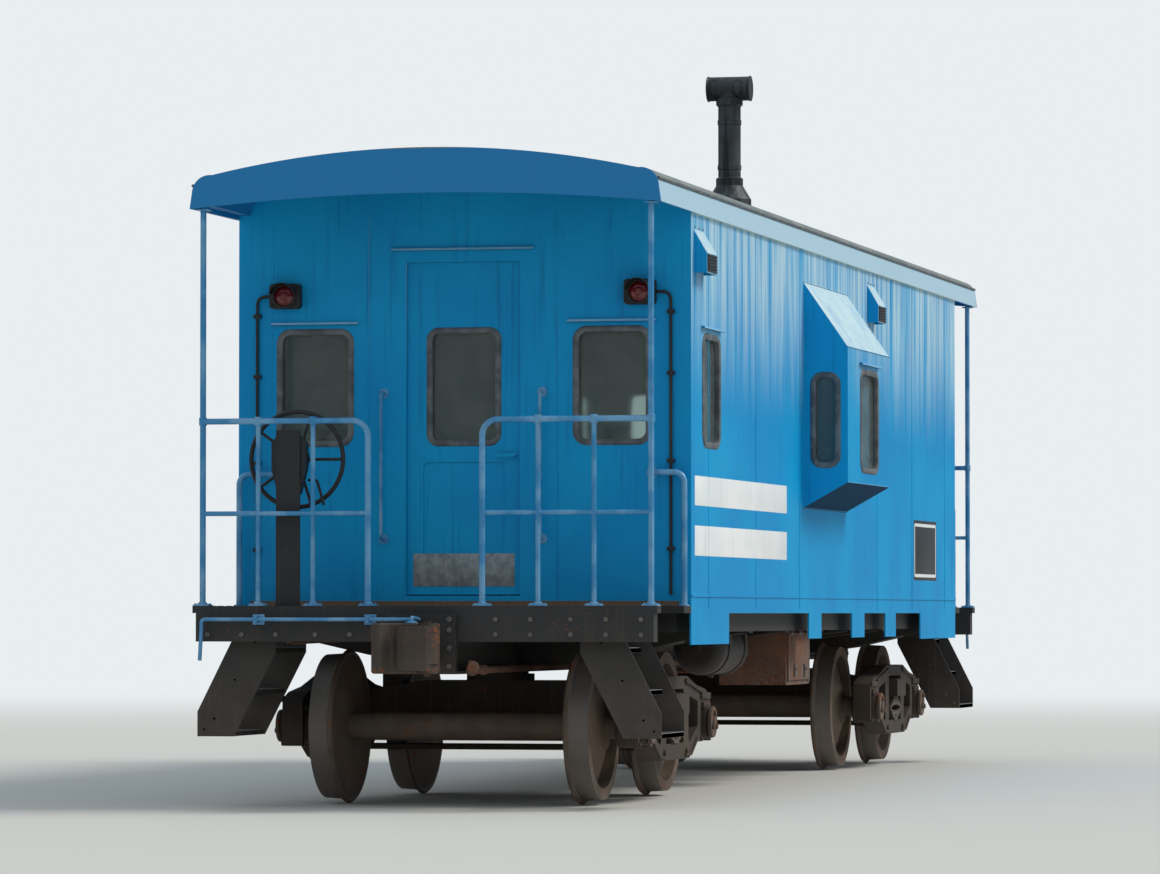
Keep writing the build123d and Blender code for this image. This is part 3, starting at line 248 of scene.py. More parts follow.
# Zinc-plated bolts gone dull
platedBolt = weathered("dullPlatedBolt", "#55585A", "#7A736A", rough=0.45, metal=0.5, rustStart=0.95,
                       rustSpot=8 * mm, tonePatch=60 * mm)
# Hot-dip galvanised steel of the step gratings and kick plates: pale grey with a spangle
stepGrating = weathered("galvanisedGrating", "#7D8589", "#A3A9AC", rough=0.42, metal=0.4, tonePatch=50 * mm,
                        dustShare=0.6, rustStart=0.95, rustSpot=14 * mm)
# Forged wheels: brown rust on the plate
wheelSteel = weathered("forgedWheelSteel", "#3B2A22", "#5B4030", rough=0.62, rustStart=0.86, metal=0.15,
                       grain=8 * mm, grainDepth=0.4 * mm, tonePatch=170 * mm)
# Rolled roof sheet: weathered grey paint under dark run-off. finishRoof gives its edges their own colours
roofPaint = weathered("greyPaintOnRoofSheet", "#5F6967", "#8A938F", rough=0.5, streak="#2F3432",
                      streakShare=0.45, dustShare=0.0, rustStart=0.97, tonePatch=500 * mm,
                      grainDepth=0.5 * mm)


def placeAndWay(tree):  # the place on the object and the way the face looks, each as X, Y and Z
    spot = add(tree, "ShaderNodeTexCoord", output="Object")
    place = add(tree, "ShaderNodeSeparateXYZ", {}, {0: spot}, "X").node.outputs
    return place, add(tree, "ShaderNodeSeparateXYZ", {}, {0: spot.node.outputs["Normal"]}, "X").node.outputs


# The rail keeps the tread and the flange's root bright: a ring round each axle, between two radii
axles = {"truck": 3.7, "fromTruck": 0.838}  # a truck from the car's middle, an axle from its truck's
treadShine = {"from": 0.409, "to": 0.428, "innerEdge": 2 * mm, "outerEdge": 4 * mm, "colour": "#77706A",
              "metal": 0.45, "leastMetal": 0.15, "polish": 0.22}


def finishTreads():
    low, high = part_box("wheelset_1")
    tree = wheelSteel.node_tree
    spot = add(tree, "ShaderNodeTexCoord", output="Object")
    place = add(tree, "ShaderNodeSeparateXYZ", {}, {0: spot}, "X").node.outputs
    fromTruck = maths(tree, "SUBTRACT", maths(tree, "ABSOLUTE", place["X"]), axles["truck"])
    along = maths(tree, "SUBTRACT", maths(tree, "ABSOLUTE", fromTruck), axles["fromTruck"])
    up = maths(tree, "SUBTRACT", place["Z"], (low.z + high.z) / 2)
    radius = maths(tree, "SQRT", maths(tree, "ADD", maths(tree, "MULTIPLY", along, along),
                                       maths(tree, "MULTIPLY", up, up)))
    bright = maths(tree, "MULTIPLY",
                   ramp(tree, radius, treadShine["from"], treadShine["from"] + treadShine["innerEdge"]),
                   ramp(tree, radius, treadShine["to"], treadShine["to"] - treadShine["outerEdge"]))
    mixBaseColour(wheelSteel, bright, treadShine["colour"])
    shader = tree.nodes["Principled BSDF"]
    metal = maths(tree, "MULTIPLY", bright, treadShine["metal"])
    tree.links.new(maths(tree, "ADD", metal, treadShine["leastMetal"]), shader.inputs["Metallic"])
    polish = maths(tree, "MULTIPLY", bright, treadShine["polish"])
    old = shader.inputs["Roughness"].links[0].from_socket
    tree.links.new(maths(tree, "SUBTRACT", old, polish, clamp=True), shader.inputs["Roughness"])


# The roof's edges: blue below the eaves line and on the end fascias, pale on the long fascias as a painted
# reflection of the sky
eaves = {"line": 3.50, "outward": 0.6, "below": "#0A7CBC", "longFasciaPaintedSky": "#A9CBDF", "endFascia": "#017ABA",
         "fasciaDeep": 13 * mm, "fasciaUnderTop": 16 * mm}


def finishRoof():
    tree = roofPaint.node_tree
    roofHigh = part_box("roof")[1]
    place, way = placeAndWay(tree)
    low = maths(tree, "LESS_THAN", place["Z"], eaves["line"])
    fromMiddle = maths(tree, "ABSOLUTE", place["X"])
    atEnd = maths(tree, "MULTIPLY", maths(tree, "GREATER_THAN", fromMiddle, roofHigh.x - eaves["fasciaDeep"]),
                  maths(tree, "LESS_THAN", place["Z"], roofHigh.z - eaves["fasciaUnderTop"]))
    outward = maths(tree, "MULTIPLY", place["Y"], way["Y"])
    outside = maths(tree, "GREATER_THAN", outward, eaves["outward"])
    mixBaseColour(roofPaint, low, eaves["below"])
    # Long fascias facing out: a painted reflection of the sky
    mixBaseColour(roofPaint, maths(tree, "MULTIPLY", low, outside), eaves["longFasciaPaintedSky"])
    mixBaseColour(roofPaint, atEnd, eaves["endFascia"])


# The cabin side of walls, bays, doors and ceiling has the cabin's pale enamel, brushed over the same sheet.
# A face looks into the cabin where its place times its normal is less than its limit here
cabin = {"paint": "#AEB89F", "ceiling": "#C9CBB4", "floor": 1.175, "wallsFrom": 1.15, "endsFrom": 4.40,
         "wallLimit": -0.4, "endLimit": -2.0, "bayLimit": -0.1, "ceilingLimit": -0.3}


def finishInside():
    tree = blueEnamel.node_tree
    place, way = placeAndWay(tree)
    bayLow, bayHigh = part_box("bay_left")
    across, along = (maths(tree, "MULTIPLY", place[axis], way[axis]) for axis in "YX")
    outwards, endwards = (maths(tree, "ABSOLUTE", place[axis]) for axis in "YX")
    atWalls = maths(tree, "GREATER_THAN", outwards, cabin["wallsFrom"])
    onWalls = maths(tree, "MULTIPLY", maths(tree, "LESS_THAN", across, cabin["wallLimit"]), atWalls)
    onEnds = maths(tree, "MULTIPLY", maths(tree, "LESS_THAN", along, cabin["endLimit"]),
                   maths(tree, "GREATER_THAN", endwards, cabin["endsFrom"]))
    fromBay = maths(tree, "ABSOLUTE", maths(tree, "SUBTRACT", place["X"], (bayLow.x + bayHigh.x) / 2))
    inBay = maths(tree, "MULTIPLY", maths(tree, "LESS_THAN", along, cabin["bayLimit"]),
                  maths(tree, "LESS_THAN", fromBay, (bayHigh.x - bayLow.x) / 2))
    inBay = maths(tree, "MULTIPLY", inBay, atWalls)
    inside = maths(tree, "MAXIMUM", maths(tree, "MAXIMUM", onWalls, onEnds), inBay)
    above = maths(tree, "GREATER_THAN", place["Z"], cabin["floor"])
    mixBaseColour(blueEnamel, maths(tree, "MULTIPLY", inside, above), cabin["paint"])
    tree = roofPaint.node_tree
    place, way = placeAndWay(tree)
    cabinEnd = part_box("side_wall_left")[1].x
    overCabin = maths(tree, "LESS_THAN", maths(tree, "ABSOLUTE", place["X"]), cabinEnd)
    overhead = maths(tree, "MULTIPLY", overCabin, maths(tree, "LESS_THAN", way["Z"], cabin["ceilingLimit"]))
    mixBaseColour(roofPaint, overhead, cabin["ceiling"])


# Tempered float glass: greenish, with a thin film of dust
glass = {"clear": "#DDEBE6", "dusty": "#AFC0BC", "film": 160 * mm, "filmRough": 0.09, "through": 0.92,
         "ior": 1.52}


def makeGlass():
    material, tree, shader, place = newMaterial("temperedFloatGlass")
    film = patches(tree, place, glass["film"])
    colour = mixed(tree, film, toLinear(glass["clear"]), toLinear(glass["dusty"]))
    tree.links.new(colour, shader.inputs["Base Color"])
    tree.links.new(maths(tree, "MULTIPLY", film, glass["filmRough"]), shader.inputs["Roughness"])
    shader.inputs["Transmission Weight"].default_value = glass["through"]
    shader.inputs["IOR"].default_value = glass["ior"]
    return material


# Moulded red polycarbonate: wet gloss, some light through it
lens = {"red": "#8E0B16", "deep": "#5C0A18", "patch": 40 * mm, "rough": 0.12, "through": 0.35, "ior": 1.58,
        "coat": 0.4}


def makeLens():
    material, tree, shader, place = newMaterial("mouldedRedPolycarbonate")
    tone = patches(tree, place, lens["patch"])
    colour = mixed(tree, tone, toLinear(lens["red"]), toLinear(lens["deep"]))
    tree.links.new(colour, shader.inputs["Base Color"])
    shader.inputs["Roughness"].default_value = lens["rough"]
    shader.inputs["Transmission Weight"].default_value = lens["through"]
    shader.inputs["IOR"].default_value = lens["ior"]
    shader.inputs["Coat Weight"].default_value = lens["coat"]
    return material


# Embossed green vinyl: leather-like grain of 5 mm cells, drawn coarser than life to show
vinyl = {"cell": 5 * mm, "proud": 0.6 * mm, "emboss": 0.7, "wearPatch": 150 * mm, "green": "#24392C",
         "worn": "#3D5242", "rough": 0.3, "wearRough": 0.3, "sheen": 0.1}


def makeVinyl():
    material, tree, shader, place = newMaterial("embossedSeatVinyl")
    cells = add(tree, "ShaderNodeTexVoronoi", {"feature": "DISTANCE_TO_EDGE"},
                {"Vector": place, "Scale": 1 / vinyl["cell"]})
    worn = patches(tree, place, vinyl["wearPatch"])
    colour = mixed(tree, worn, toLinear(vinyl["green"]), toLinear(vinyl["worn"]))
    tree.links.new(colour, shader.inputs["Base Color"])
    rough = maths(tree, "ADD", maths(tree, "MULTIPLY", worn, vinyl["wearRough"]), vinyl["rough"])
    tree.links.new(rough, shader.inputs["Roughness"])
    bump = {"Height": cells, "Distance": vinyl["proud"], "Strength": vinyl["emboss"]}
    tree.links.new(add(tree, "ShaderNodeBump", {}, bump), shader.inputs["Normal"])
    shader.inputs["Sheen Weight"].default_value = vinyl["sheen"]
    return material


# Sawn softwood floor boards: grain along the car, dark gaps, grey scuffed patches
boards = {"width": 90 * mm, "grainPerMetre": (3, 60, 60), "gap": 0.04, "scuffPatch": 300 * mm, "rough": 0.6,
          "grainDepth": 0.6 * mm, "dark": "#6B4B30", "pale": "#8F6C48", "scuffed": "#5E564C",
          "gapTone": "#1C1611"}


def makeBoards():
    material, tree, shader, place = newMaterial("scuffedFloorBoards")
    along = add(tree, "ShaderNodeMapping", {}, {"Vector": place, "Scale": boards["grainPerMetre"]})
    grain = patches(tree, along, 1.0, detail=6)
    teeth = math.pi / 10 / boards["width"]  # one saw tooth to a board
    wave = add(tree, "ShaderNodeTexWave", {"bands_direction": "Y", "wave_profile": "SAW"},
               {"Vector": place, "Scale": teeth, "Distortion": 0.0}, output="Fac")
    gap = ramp(tree, wave, boards["gap"], 0.0)
    colour = mixed(tree, grain, toLinear(boards["dark"]), toLinear(boards["pale"]))
    scuffs = patches(tree, place, boards["scuffPatch"])
    colour = mixed(tree, scuffs, colour, toLinear(boards["scuffed"]))
    tree.links.new(mixed(tree, gap, colour, toLinear(boards["gapTone"])), shader.inputs["Base Color"])
    shader.inputs["Roughness"].default_value = boards["rough"]
    bump = {"Height": grain, "Distance": boards["grainDepth"]}
    tree.links.new(add(tree, "ShaderNodeBump", {}, bump), shader.inputs["Normal"])
    return material


finishTreads()
finishRoof()
finishInside()
clearGlass = makeGlass()
redLens = makeLens()
seatVinyl = makeVinyl()
floorBoards = makeBoards()
finishOfSlot = {
    "blue_paint": blueEnamel, "roof_paint": roofPaint, "black_frame": blackFrame, "floor_boards": floorBoards,
    "rail_paint": railEnamel, "glass": clearGlass, "red_lens": redLens, "stack_steel": flueSteel,
    "cast_steel": castSteel, "rusty_steel": rustedPlate, "truck_steel": truckCasting,
    "spring_steel": springSteel, "wheel_steel": wheelSteel, "stove_iron": stoveIron,
    "inside_paint": cabinEnamel, "seat_vinyl": seatVinyl,
}
for nodeName, shape in cad.items():
    shape.data.materials.clear()
    shape.data.materials.append(finishOfSlot[slotOf[nodeName]])
print("materials on", len(cad), "nodes")


# Mesh tools, all in metres
tolerance = {"weld": 0.005 * mm, "sameCorner": 0.01 * mm, "onAxis": 0.02 * mm, "leastMitre": 0.4}


def corners(first, second):
    return Vector(map(min, first, second)), Vector(map(max, first, second))


def slab(bm, first, second, edge=2 * mm):  # a plate or block with eased edges
    low, high = corners(first, second)
    made = bmesh.ops.create_cube(bm, size=1)["verts"]
    size, middle = high - low, (high + low) / 2
    for vertex in made:
        vertex.co = Vector(vertex.co[i] * size[i] + middle[i] for i in range(3))
    if edge:
        around = list(dict.fromkeys(e for v in made for e in v.link_edges))  # each once, always in this order
        bmesh.ops.bevel(bm, geom=around, offset=edge, segments=2, affect="EDGES", profile=0.5)


def loft(bm, rings, closed=False):  # skins rings of equal length, with flat ends unless closed
    made = [[bm.verts.new(point) for point in ring] for ring in rings]
    pairs = list(zip(made, made[1:])) + ([(made[-1], made[0])] if closed else [])
    for first, second in pairs:
        for i in range(len(first)):
            j = (i + 1) % len(first)
            bm.faces.new((first[i], first[j], second[j], second[i]))
    if not closed:
        bm.faces.new(list(reversed(made[0])))
        bm.faces.new(made[-1])


def sweep(bm, path, section, closed=False, facing=None):  # section points are (across, along facing)
    path = [Vector(p) for p in path]
    rings, last = [], None
    for i, point in enumerate(path):
        before = path[i - 1] if (i or closed) else path[0] * 2 - path[1]
        after = path[(i + 1) % len(path)] if (closed or i + 1 < len(path)) else path[-1] * 2 - path[-2]
        way = ((point - before).normalized() + (after - point).normalized()).normalized()
        if facing is not None:
            up = Vector(facing)
        elif last is None:
            up = way.orthogonal().normalized()
        else:
            up = (last - way * last.dot(way)).normalized()
        across = way.cross(up).normalized()
        bend = (point - before).normalized().angle((after - point).normalized(), 0)
        widen = 1 / max(math.cos(bend / 2), tolerance["leastMitre"]) if facing is not None else 1
        rings.append([point + across * u * widen + up * v for u, v in section])
        last = up
    loft(bm, rings, closed)


def circle(radius, count):
    return [(radius * math.cos(2 * math.pi * k / count), radius * math.sin(2 * math.pi * k / count))
            for k in range(count)]


def tube(bm, path, radius, count, closed=False):  # count is its number of flat sides
    sweep(bm, path, circle(radius, count), closed)


def bent(points, radius, steps=5):  # a path with its inner corners rounded
    points = [Vector(p) for p in points]
    path = [points[0]]
    for before, corner, after in zip(points, points[1:], points[2:]):
        inward, outward = (before - corner).normalized(), (after - corner).normalized()
        half = inward.angle(outward) / 2
        reach = min(radius / math.tan(half), (before - corner).length / 2, (after - corner).length / 2)
        start, finish = corner + inward * reach, corner + outward * reach
        for k in range(steps + 1):
            t = k / steps
            path.append(start * (1 - t) ** 2 + corner * 2 * t * (1 - t) + finish * t ** 2)
    path.append(points[-1])
    return path


def turned(bm, profile, centre, axis, steps):  # profile points are (radius, distance along the axis)
    axis = Vector(axis).normalized()
    first = axis.orthogonal().normalized()
    second = axis.cross(first)
    rings = []
    for k in range(steps):
        angle = 2 * math.pi * k / steps
        out = first * math.cos(angle) + second * math.sin(angle)
        rings.append([Vector(centre) + out * max(r, tolerance["onAxis"]) + axis * h for r, h in profile])
    made = [[bm.verts.new(point) for point in ring] for ring in rings]
    for k in range(steps):
        ring, following = made[k], made[(k + 1) % steps]
        for i in range(len(profile) - 1):
            bm.faces.new((ring[i], ring[i + 1], following[i + 1], following[i]))
    bm.faces.new([ring[0] for ring in made])
    bm.faces.new([ring[-1] for ring in reversed(made)])


bolt = {"corner": 0.58, "crown": 0.46, "shoulder": 0.8}  # shares of its width and of its height


def hexHead(bm, place, axis, across, height):
    profile = [(across * bolt["corner"], 0), (across * bolt["corner"], height * bolt["shoulder"]),
               (across * bolt["crown"], height)]
    turned(bm, profile, place, axis, steps=6)


link = {"straight": 0.2, "bend": 0.3, "half": 0.28}  # shares of a chain link's length


def chain(bm, start, finish, wire, length):  # a taut chain of welded links
    start, finish = Vector(start), Vector(finish)
    way = (finish - start).normalized()
    cross = way.orthogonal().normalized()
    other = way.cross(cross)
    count = int((finish - start).length / (length - 2 * wire))
    for k in range(count):
        middle = start + (finish - start) * ((k + 0.5) / count)
        flat = cross if k % 2 else other
        oval = []
        for angle in range(0, 360, 30):
            c, s = math.cos(math.radians(angle)), math.sin(math.radians(angle))
            straight = math.copysign(length * link["straight"], c) if abs(c) > 0.01 else 0
            along = way * (c * length * link["bend"] + straight)
            oval.append(middle + along + flat * s * length * link["half"])
        tube(bm, oval, wire / 2, count=6, closed=True)


def roundedOutline(centre, right, up, width, height, corner, steps=6):
    outline = []
    for signX, signZ, start in ((1, 1, 0), (-1, 1, 90), (-1, -1, 180), (1, -1, 270)):
        middle = Vector(centre) + right * signX * (width / 2 - corner) + up * signZ * (height / 2 - corner)
        for k in range(steps + 1):
            angle = math.radians(start + 90 * k / steps)
            outline.append(middle + right * corner * math.cos(angle) + up * corner * math.sin(angle))
    return outline


def piece(name, bm, body, material, smoothTo=38):
    bmesh.ops.remove_doubles(bm, verts=bm.verts, dist=tolerance["weld"])
    bmesh.ops.recalc_face_normals(bm, faces=bm.faces)
    mesh = bpy.data.meshes.new(name)
    bm.to_mesh(mesh)
    bm.free()
    mesh.shade_smooth()
    mesh.set_sharp_from_angle(angle=math.radians(smoothTo))
    mesh.materials.append(material)
    made = bpy.data.objects.new(name, mesh)
    bpy.context.scene.collection.objects.link(made)
    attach(made, body)
    return made


def solidsOf(nodeName):  # the box of each separate solid in a CAD node
    work = bmesh.new()
    work.from_mesh(cad[nodeName].data)
    bmesh.ops.remove_doubles(work, verts=work.verts, dist=tolerance["sameCorner"])
    boxes, seen = [], set()
    for start in work.verts:
        if start in seen:
            continue
        seen.add(start)
        low, high, waiting = start.co.copy(), start.co.copy(), [start]
        while waiting:
            vertex = waiting.pop()
            low, high = Vector(map(min, low, vertex.co)), Vector(map(max, high, vertex.co))
            for edge in vertex.link_edges:
                other = edge.other_vert(vertex)
                if other not in seen:
                    seen.add(other)
                    waiting.append(other)
        boxes.append((low, high))
    work.free()
    return boxes


# Main planes, read from the frame
beltLip = 6 * mm
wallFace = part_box("side_wall_left")[1].y - beltLip
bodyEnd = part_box("side_wall_left")[1].x
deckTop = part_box("platform_a")[1].z
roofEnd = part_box("roof")[1].x
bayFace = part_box("bay_left")[1].y


# Camera: beside the track off end b, about a metre above the rail, with a long lens
cameraSet = {"from": (-35.4, -7.93, 1.095), "aimAt": (-4.0, -0.55, 2.12), "lens": 172.0, "sensor": 36,
             "clipEnd": 400}


def placeCamera():
    camera = bpy.data.objects.new("camera", bpy.data.cameras.new("camera"))
    bpy.context.scene.collection.objects.link(camera)
    camera.location = cameraSet["from"]
    way = Vector(cameraSet["aimAt"]) - Vector(cameraSet["from"])
    camera.rotation_euler = way.to_track_quat("-Z", "Y").to_euler()
    camera.data.lens = cameraSet["lens"]
    camera.data.sensor_width = cameraSet["sensor"]
    camera.data.clip_end = cameraSet["clipEnd"]
    bpy.context.scene.camera = camera


placeCamera()


# Soft daylight: an even sky, a wide sun over the side that shows, and a pale floor that fades out
lightSet = {"sky": "#E9EEF1", "skyShare": 0.62, "sun": 1.9, "sunWidth": 22, "sunFrom": (0.35, -0.9, 0.95),
            "sunColour": "#FFF8EE", "horizon": "#15324A", "glossSky": "#CFE3F2", "horizonUntil": 0.08,
            "skyFrom": 0.40, "floor": "#D2D3D0", "floorRough": 0.9, "floorRadius": 160, "fadeFrom": 14,
            "fadeTo": 42}


def placeLight():
    sun = bpy.data.objects.new("sun", bpy.data.lights.new("sun", "SUN"))
    bpy.context.scene.collection.objects.link(sun)
    sun.data.energy = lightSet["sun"]
    sun.data.angle = math.radians(lightSet["sunWidth"])
    sun.data.color = toLinear(lightSet["sunColour"])[:3]
    sun.rotation_euler = Vector(lightSet["sunFrom"]).to_track_quat("Z", "Y").to_euler()
    world = bpy.data.worlds.new("sky")
    bpy.context.scene.world = world
    world.use_nodes = True
    tree = world.node_tree
    tree.nodes.clear()
    rays = add(tree, "ShaderNodeLightPath", output="Is Camera Ray").node.outputs
    spot = add(tree, "ShaderNodeTexCoord", output="Generated")
    way = add(tree, "ShaderNodeSeparateXYZ", {}, {0: spot}, "Z")
    up = ramp(tree, way, lightSet["horizonUntil"], lightSet["skyFrom"])
    reflected = mixed(tree, up, toLinear(lightSet["horizon"]), toLinear(lightSet["glossSky"]))
    plain = [channel * lightSet["skyShare"] for channel in toLinear(lightSet["sky"])[:3]] + [1.0]
    colour = mixed(tree, rays["Is Glossy Ray"], plain, reflected)
    seen = maths(tree, "MAXIMUM", rays["Is Camera Ray"], rays["Is Transmission Ray"])
    colour = mixed(tree, seen, colour, toLinear(lightSet["sky"]))
    background = add(tree, "ShaderNodeBackground", {}, {"Color": colour, "Strength": 1.0})
    output = tree.nodes.new("ShaderNodeOutputWorld")
    tree.links.new(background, output.inputs["Surface"])


def placeFloor():
    bm = bmesh.new()
    bmesh.ops.create_circle(bm, cap_ends=True, segments=96, radius=lightSet["floorRadius"])
    mesh = bpy.data.meshes.new("floorStage")
    bm.to_mesh(mesh)
    bm.free()
    floor = bpy.data.objects.new("floorStage", mesh)
    bpy.context.scene.collection.objects.link(floor)
    material, tree, shader, place = newMaterial("paleFloor")
    shader.inputs["Base Color"].default_value = toLinear(lightSet["floor"])
    shader.inputs["Roughness"].default_value = lightSet["floorRough"]
    far = ramp(tree, add(tree, "ShaderNodeVectorMath", {"operation": "LENGTH"}, {0: place}, output="Value"),
               lightSet["fadeFrom"], lightSet["fadeTo"])
    rays = add(tree, "ShaderNodeLightPath", output="Is Camera Ray").node.outputs
    faded = maths(tree, "MULTIPLY", far, rays["Is Camera Ray"])
    glow = add(tree, "ShaderNodeEmission", {}, {"Color": toLinear(lightSet["sky"])})
    both = add(tree, "ShaderNodeMixShader", {}, {0: faded, 1: shader.outputs[0], 2: glow})
    tree.links.new(both, tree.nodes["Material Output"].inputs["Surface"])
    mesh.materials.append(material)


placeLight()
placeFloor()
print("camera, light and floor placed")


# Glazing strips round every pane: corner radii in mm by the pane's width in mm
glazing = {"setIn": 22 * mm, "glassToSkin": 18.5 * mm, "otherCorner": 55,
           "corner": {600: 80, 460: 80, 420: 60, 400: 50, 150: 55}}
stripSection = [(-0.014, -0.020), (-0.014, 0.004), (-0.006, 0.009), (0.012, 0.009), (0.020, 0.004),
                (0.022, 0.0), (0.0, 0.0), (0.0, -0.020)]


def paneFrame(low, high):  # centre, facing and level axes, width and height of a pane
    size, middle = high - low, (high + low) / 2
    thin = min(range(3), key=lambda i: size[i])
    facing = Vector((0, 0, 0))
    facing[thin] = 1 if middle[thin] > 0 else -1
    level = Vector((0, 0, 1)).cross(facing)
    outer = middle + facing * (size[thin] / 2 + glazing["setIn"])
    return outer, facing, level, abs(size.dot(Vector(map(abs, level)))), size.z


def glazingStrip(bm, outer, facing, level, width, height):
    corner = glazing["corner"].get(round(width / mm / 10) * 10, glazing["otherCorner"]) * mm
    outline = roundedOutline(outer, level, Vector((0, 0, 1)), width, height, corner)
    sweep(bm, outline, stripSection, closed=True, facing=facing)


def doorSkin(endName, end):  # where a door's outer face is
    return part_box(f"door_glass_{endName}")[1 if end > 0 else 0].x + end * glazing["glassToSkin"]


def makeGlazing():
    bm = bmesh.new()
    for low, high in solidsOf("window_glass"):
        outer, facing, level, width, height = paneFrame(low, high)
        glazingStrip(bm, outer, facing, level, width, height)
    piece("window_gaskets", bm, "carbody", glazingRubberAndEavesShade)
    for endName, end in ends:
        bm = bmesh.new()
        low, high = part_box(f"door_glass_{endName}")
        middle = (low + high) / 2
        outer = Vector((doorSkin(endName, end), middle.y, middle.z))
        glazingStrip(bm, outer, Vector((end, 0, 0)), Vector((0, end, 0)), high.y - low.y, high.z - low.z)
        piece(f"door_gasket_{endName}", bm, f"door_{endName}", glazingRubberAndEavesShade)


makeGlazing()
print("glazing strips made")


# Weld beads where the side and end sheets meet, round the bays and along the bays' sills
seams = {"bead": 3.5 * mm, "around": 6, "pitch": 1.375, "count": 7, "low": 1.12, "high": 3.37, "bayGap": 0.1,
         "bayShare": 1.4, "baySills": (1.915, 2.765), "endY": 0.56, "endLow": 1.17, "endHigh": 3.4}


def seamPlaces(side):  # where the upright beads of a side stand, clear of its bay
    bayLow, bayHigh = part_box("bay_left" if side > 0 else "bay_right")
    places = [(number - seams["count"] // 2) * seams["pitch"] for number in range(seams["count"])]
    return [x for x in places if not bayLow.x - seams["bayGap"] < x < bayHigh.x + seams["bayGap"]]


# White stripes and the blank panel on each side, measured from the side's own left end
paintwork = {"proud": 0.7 * mm, "edge": 0.3 * mm, "barFrom": 0.10, "barTo": 2.82,
             "bars": ((1.710, 1.880), (1.423, 1.595)), "beadProud": 0.5 * mm,
             "panel": (7.43, 8.37, 1.325, 1.745), "rimInset": 66 * mm, "rimCorner": 12 * mm}
rimSection = [(-0.011, -0.001), (-0.011, 0.0006), (0.011, 0.0006), (0.011, -0.001)]


def onSide(side, distance, height, proud):
    return Vector((side * (bodyEnd - distance), side * (wallFace + proud), height))


def makePaintwork():
    bars, panels, rims = bmesh.new(), bmesh.new(), bmesh.new()
    thin, edge = paintwork["proud"], paintwork["edge"]
    barFrom, barTo = paintwork["barFrom"], paintwork["barTo"]
    start, finish, panelLow, panelHigh = paintwork["panel"]
    for side in bothWays:
        for low, high in paintwork["bars"]:
            slab(bars, onSide(side, barFrom, low, -thin), onSide(side, barTo, high, thin), edge)
            for x in seamPlaces(side):
                if barFrom < bodyEnd - side * x < barTo:
                    tube(bars, [(x, side * wallFace, low), (x, side * wallFace, high)],
                         seams["bead"] + paintwork["beadProud"], seams["around"])
        slab(panels, onSide(side, start, panelLow, -thin), onSide(side, finish, panelHigh, thin), edge)
        middle = onSide(side, (start + finish) / 2, (panelLow + panelHigh) / 2, thin)
        outline = roundedOutline(middle, Vector((-side, 0, 0)), Vector((0, 0, 1)),
                                 finish - start - paintwork["rimInset"],
                                 panelHigh - panelLow - paintwork["rimInset"], paintwork["rimCorner"])
        sweep(rims, outline, rimSection, closed=True, facing=(0, side, 0))
    piece("side_stripes", bars, "carbody", whiteEnamel)
    piece("data_panels", panels, "carbody", panelPaintAndLouvreShade)
    piece("data_panel_rims", rims, "carbody", whiteEnamel)


makePaintwork()
print("stripes and panels painted")


def makeSeams():
    bm = bmesh.new()
    bead, around = seams["bead"], seams["around"]
    for sideName, side in sides:
        bayLow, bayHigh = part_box(f"bay_{sideName}")
        wall, bay = side * wallFace, side * bayFace
        for x in seamPlaces(side):
            tube(bm, [(x, wall, seams["low"]), (x, wall, seams["high"])], bead, around)
        for x in (bayLow.x, bayHigh.x):
            tube(bm, [(x, wall, bayLow.z), (x, wall, bayHigh.z)], bead * seams["bayShare"], around)
        for z in (bayLow.z, bayHigh.z):
            tube(bm, [(bayLow.x, wall, z), (bayHigh.x, wall, z)], bead * seams["bayShare"], around)
        for z in seams["baySills"]:
            tube(bm, [(bayLow.x, bay, z), (bayHigh.x, bay, z)], bead, around)
    for x in (bodyEnd, -bodyEnd):
        for y in (-seams["endY"], seams["endY"]):
            tube(bm, [(x, y, seams["endLow"]), (x, y, seams["endHigh"])], bead, around)
    piece("weld_beads", bm, "carbody", blueEnamel)


# A bent strip over every wide window and door, and a dark bead along the eaves that is painted shade of the
# gap under the roof's edge
dripRail = {"above": 0.055, "beyond": 0.05, "leastWidth": 0.3, "doorHalf": 0.42, "doorHeight": 3.19}
dripSection = [(-0.003, 0), (-0.003, 0.022), (0.010, 0.026), (0.012, 0.022), (0.003, 0.018), (0.003, 0)]
eavesShadeBead = {"y": 1.3455, "height": 3.507, "short": 10 * mm, "radius": 9 * mm}


def makeDripRails():
    bm = bmesh.new()
    for low, high in solidsOf("window_glass"):
        outer, facing, level, width, height = paneFrame(low, high)
        top = outer + Vector((0, 0, height / 2 + dripRail["above"]))
        half = level * (width / 2 + dripRail["beyond"])
        if width > dripRail["leastWidth"]:
            sweep(bm, [top - half, top + half], dripSection, facing=facing)
    for end in bothWays:
        x, y, z = end * bodyEnd, end * dripRail["doorHalf"], dripRail["doorHeight"]
        sweep(bm, [(x, -y, z), (x, y, z)], dripSection, facing=(end, 0, 0))
    piece("drip_rails", bm, "carbody", blueEnamel)
    # Dark bead along each eave: painted shade of the gap under the roof's edge
    bm = bmesh.new()
    for side in bothWays:
        x, y, z = roofEnd - eavesShadeBead["short"], side * eavesShadeBead["y"], eavesShadeBead["height"]
        tube(bm, [(-x, y, z), (x, y, z)], eavesShadeBead["radius"], count=8)
    piece("eaves_shade_beads", bm, "carbody", glazingRubberAndEavesShade)


makeSeams()
makeDripRails()
print("seams and drip rails made")


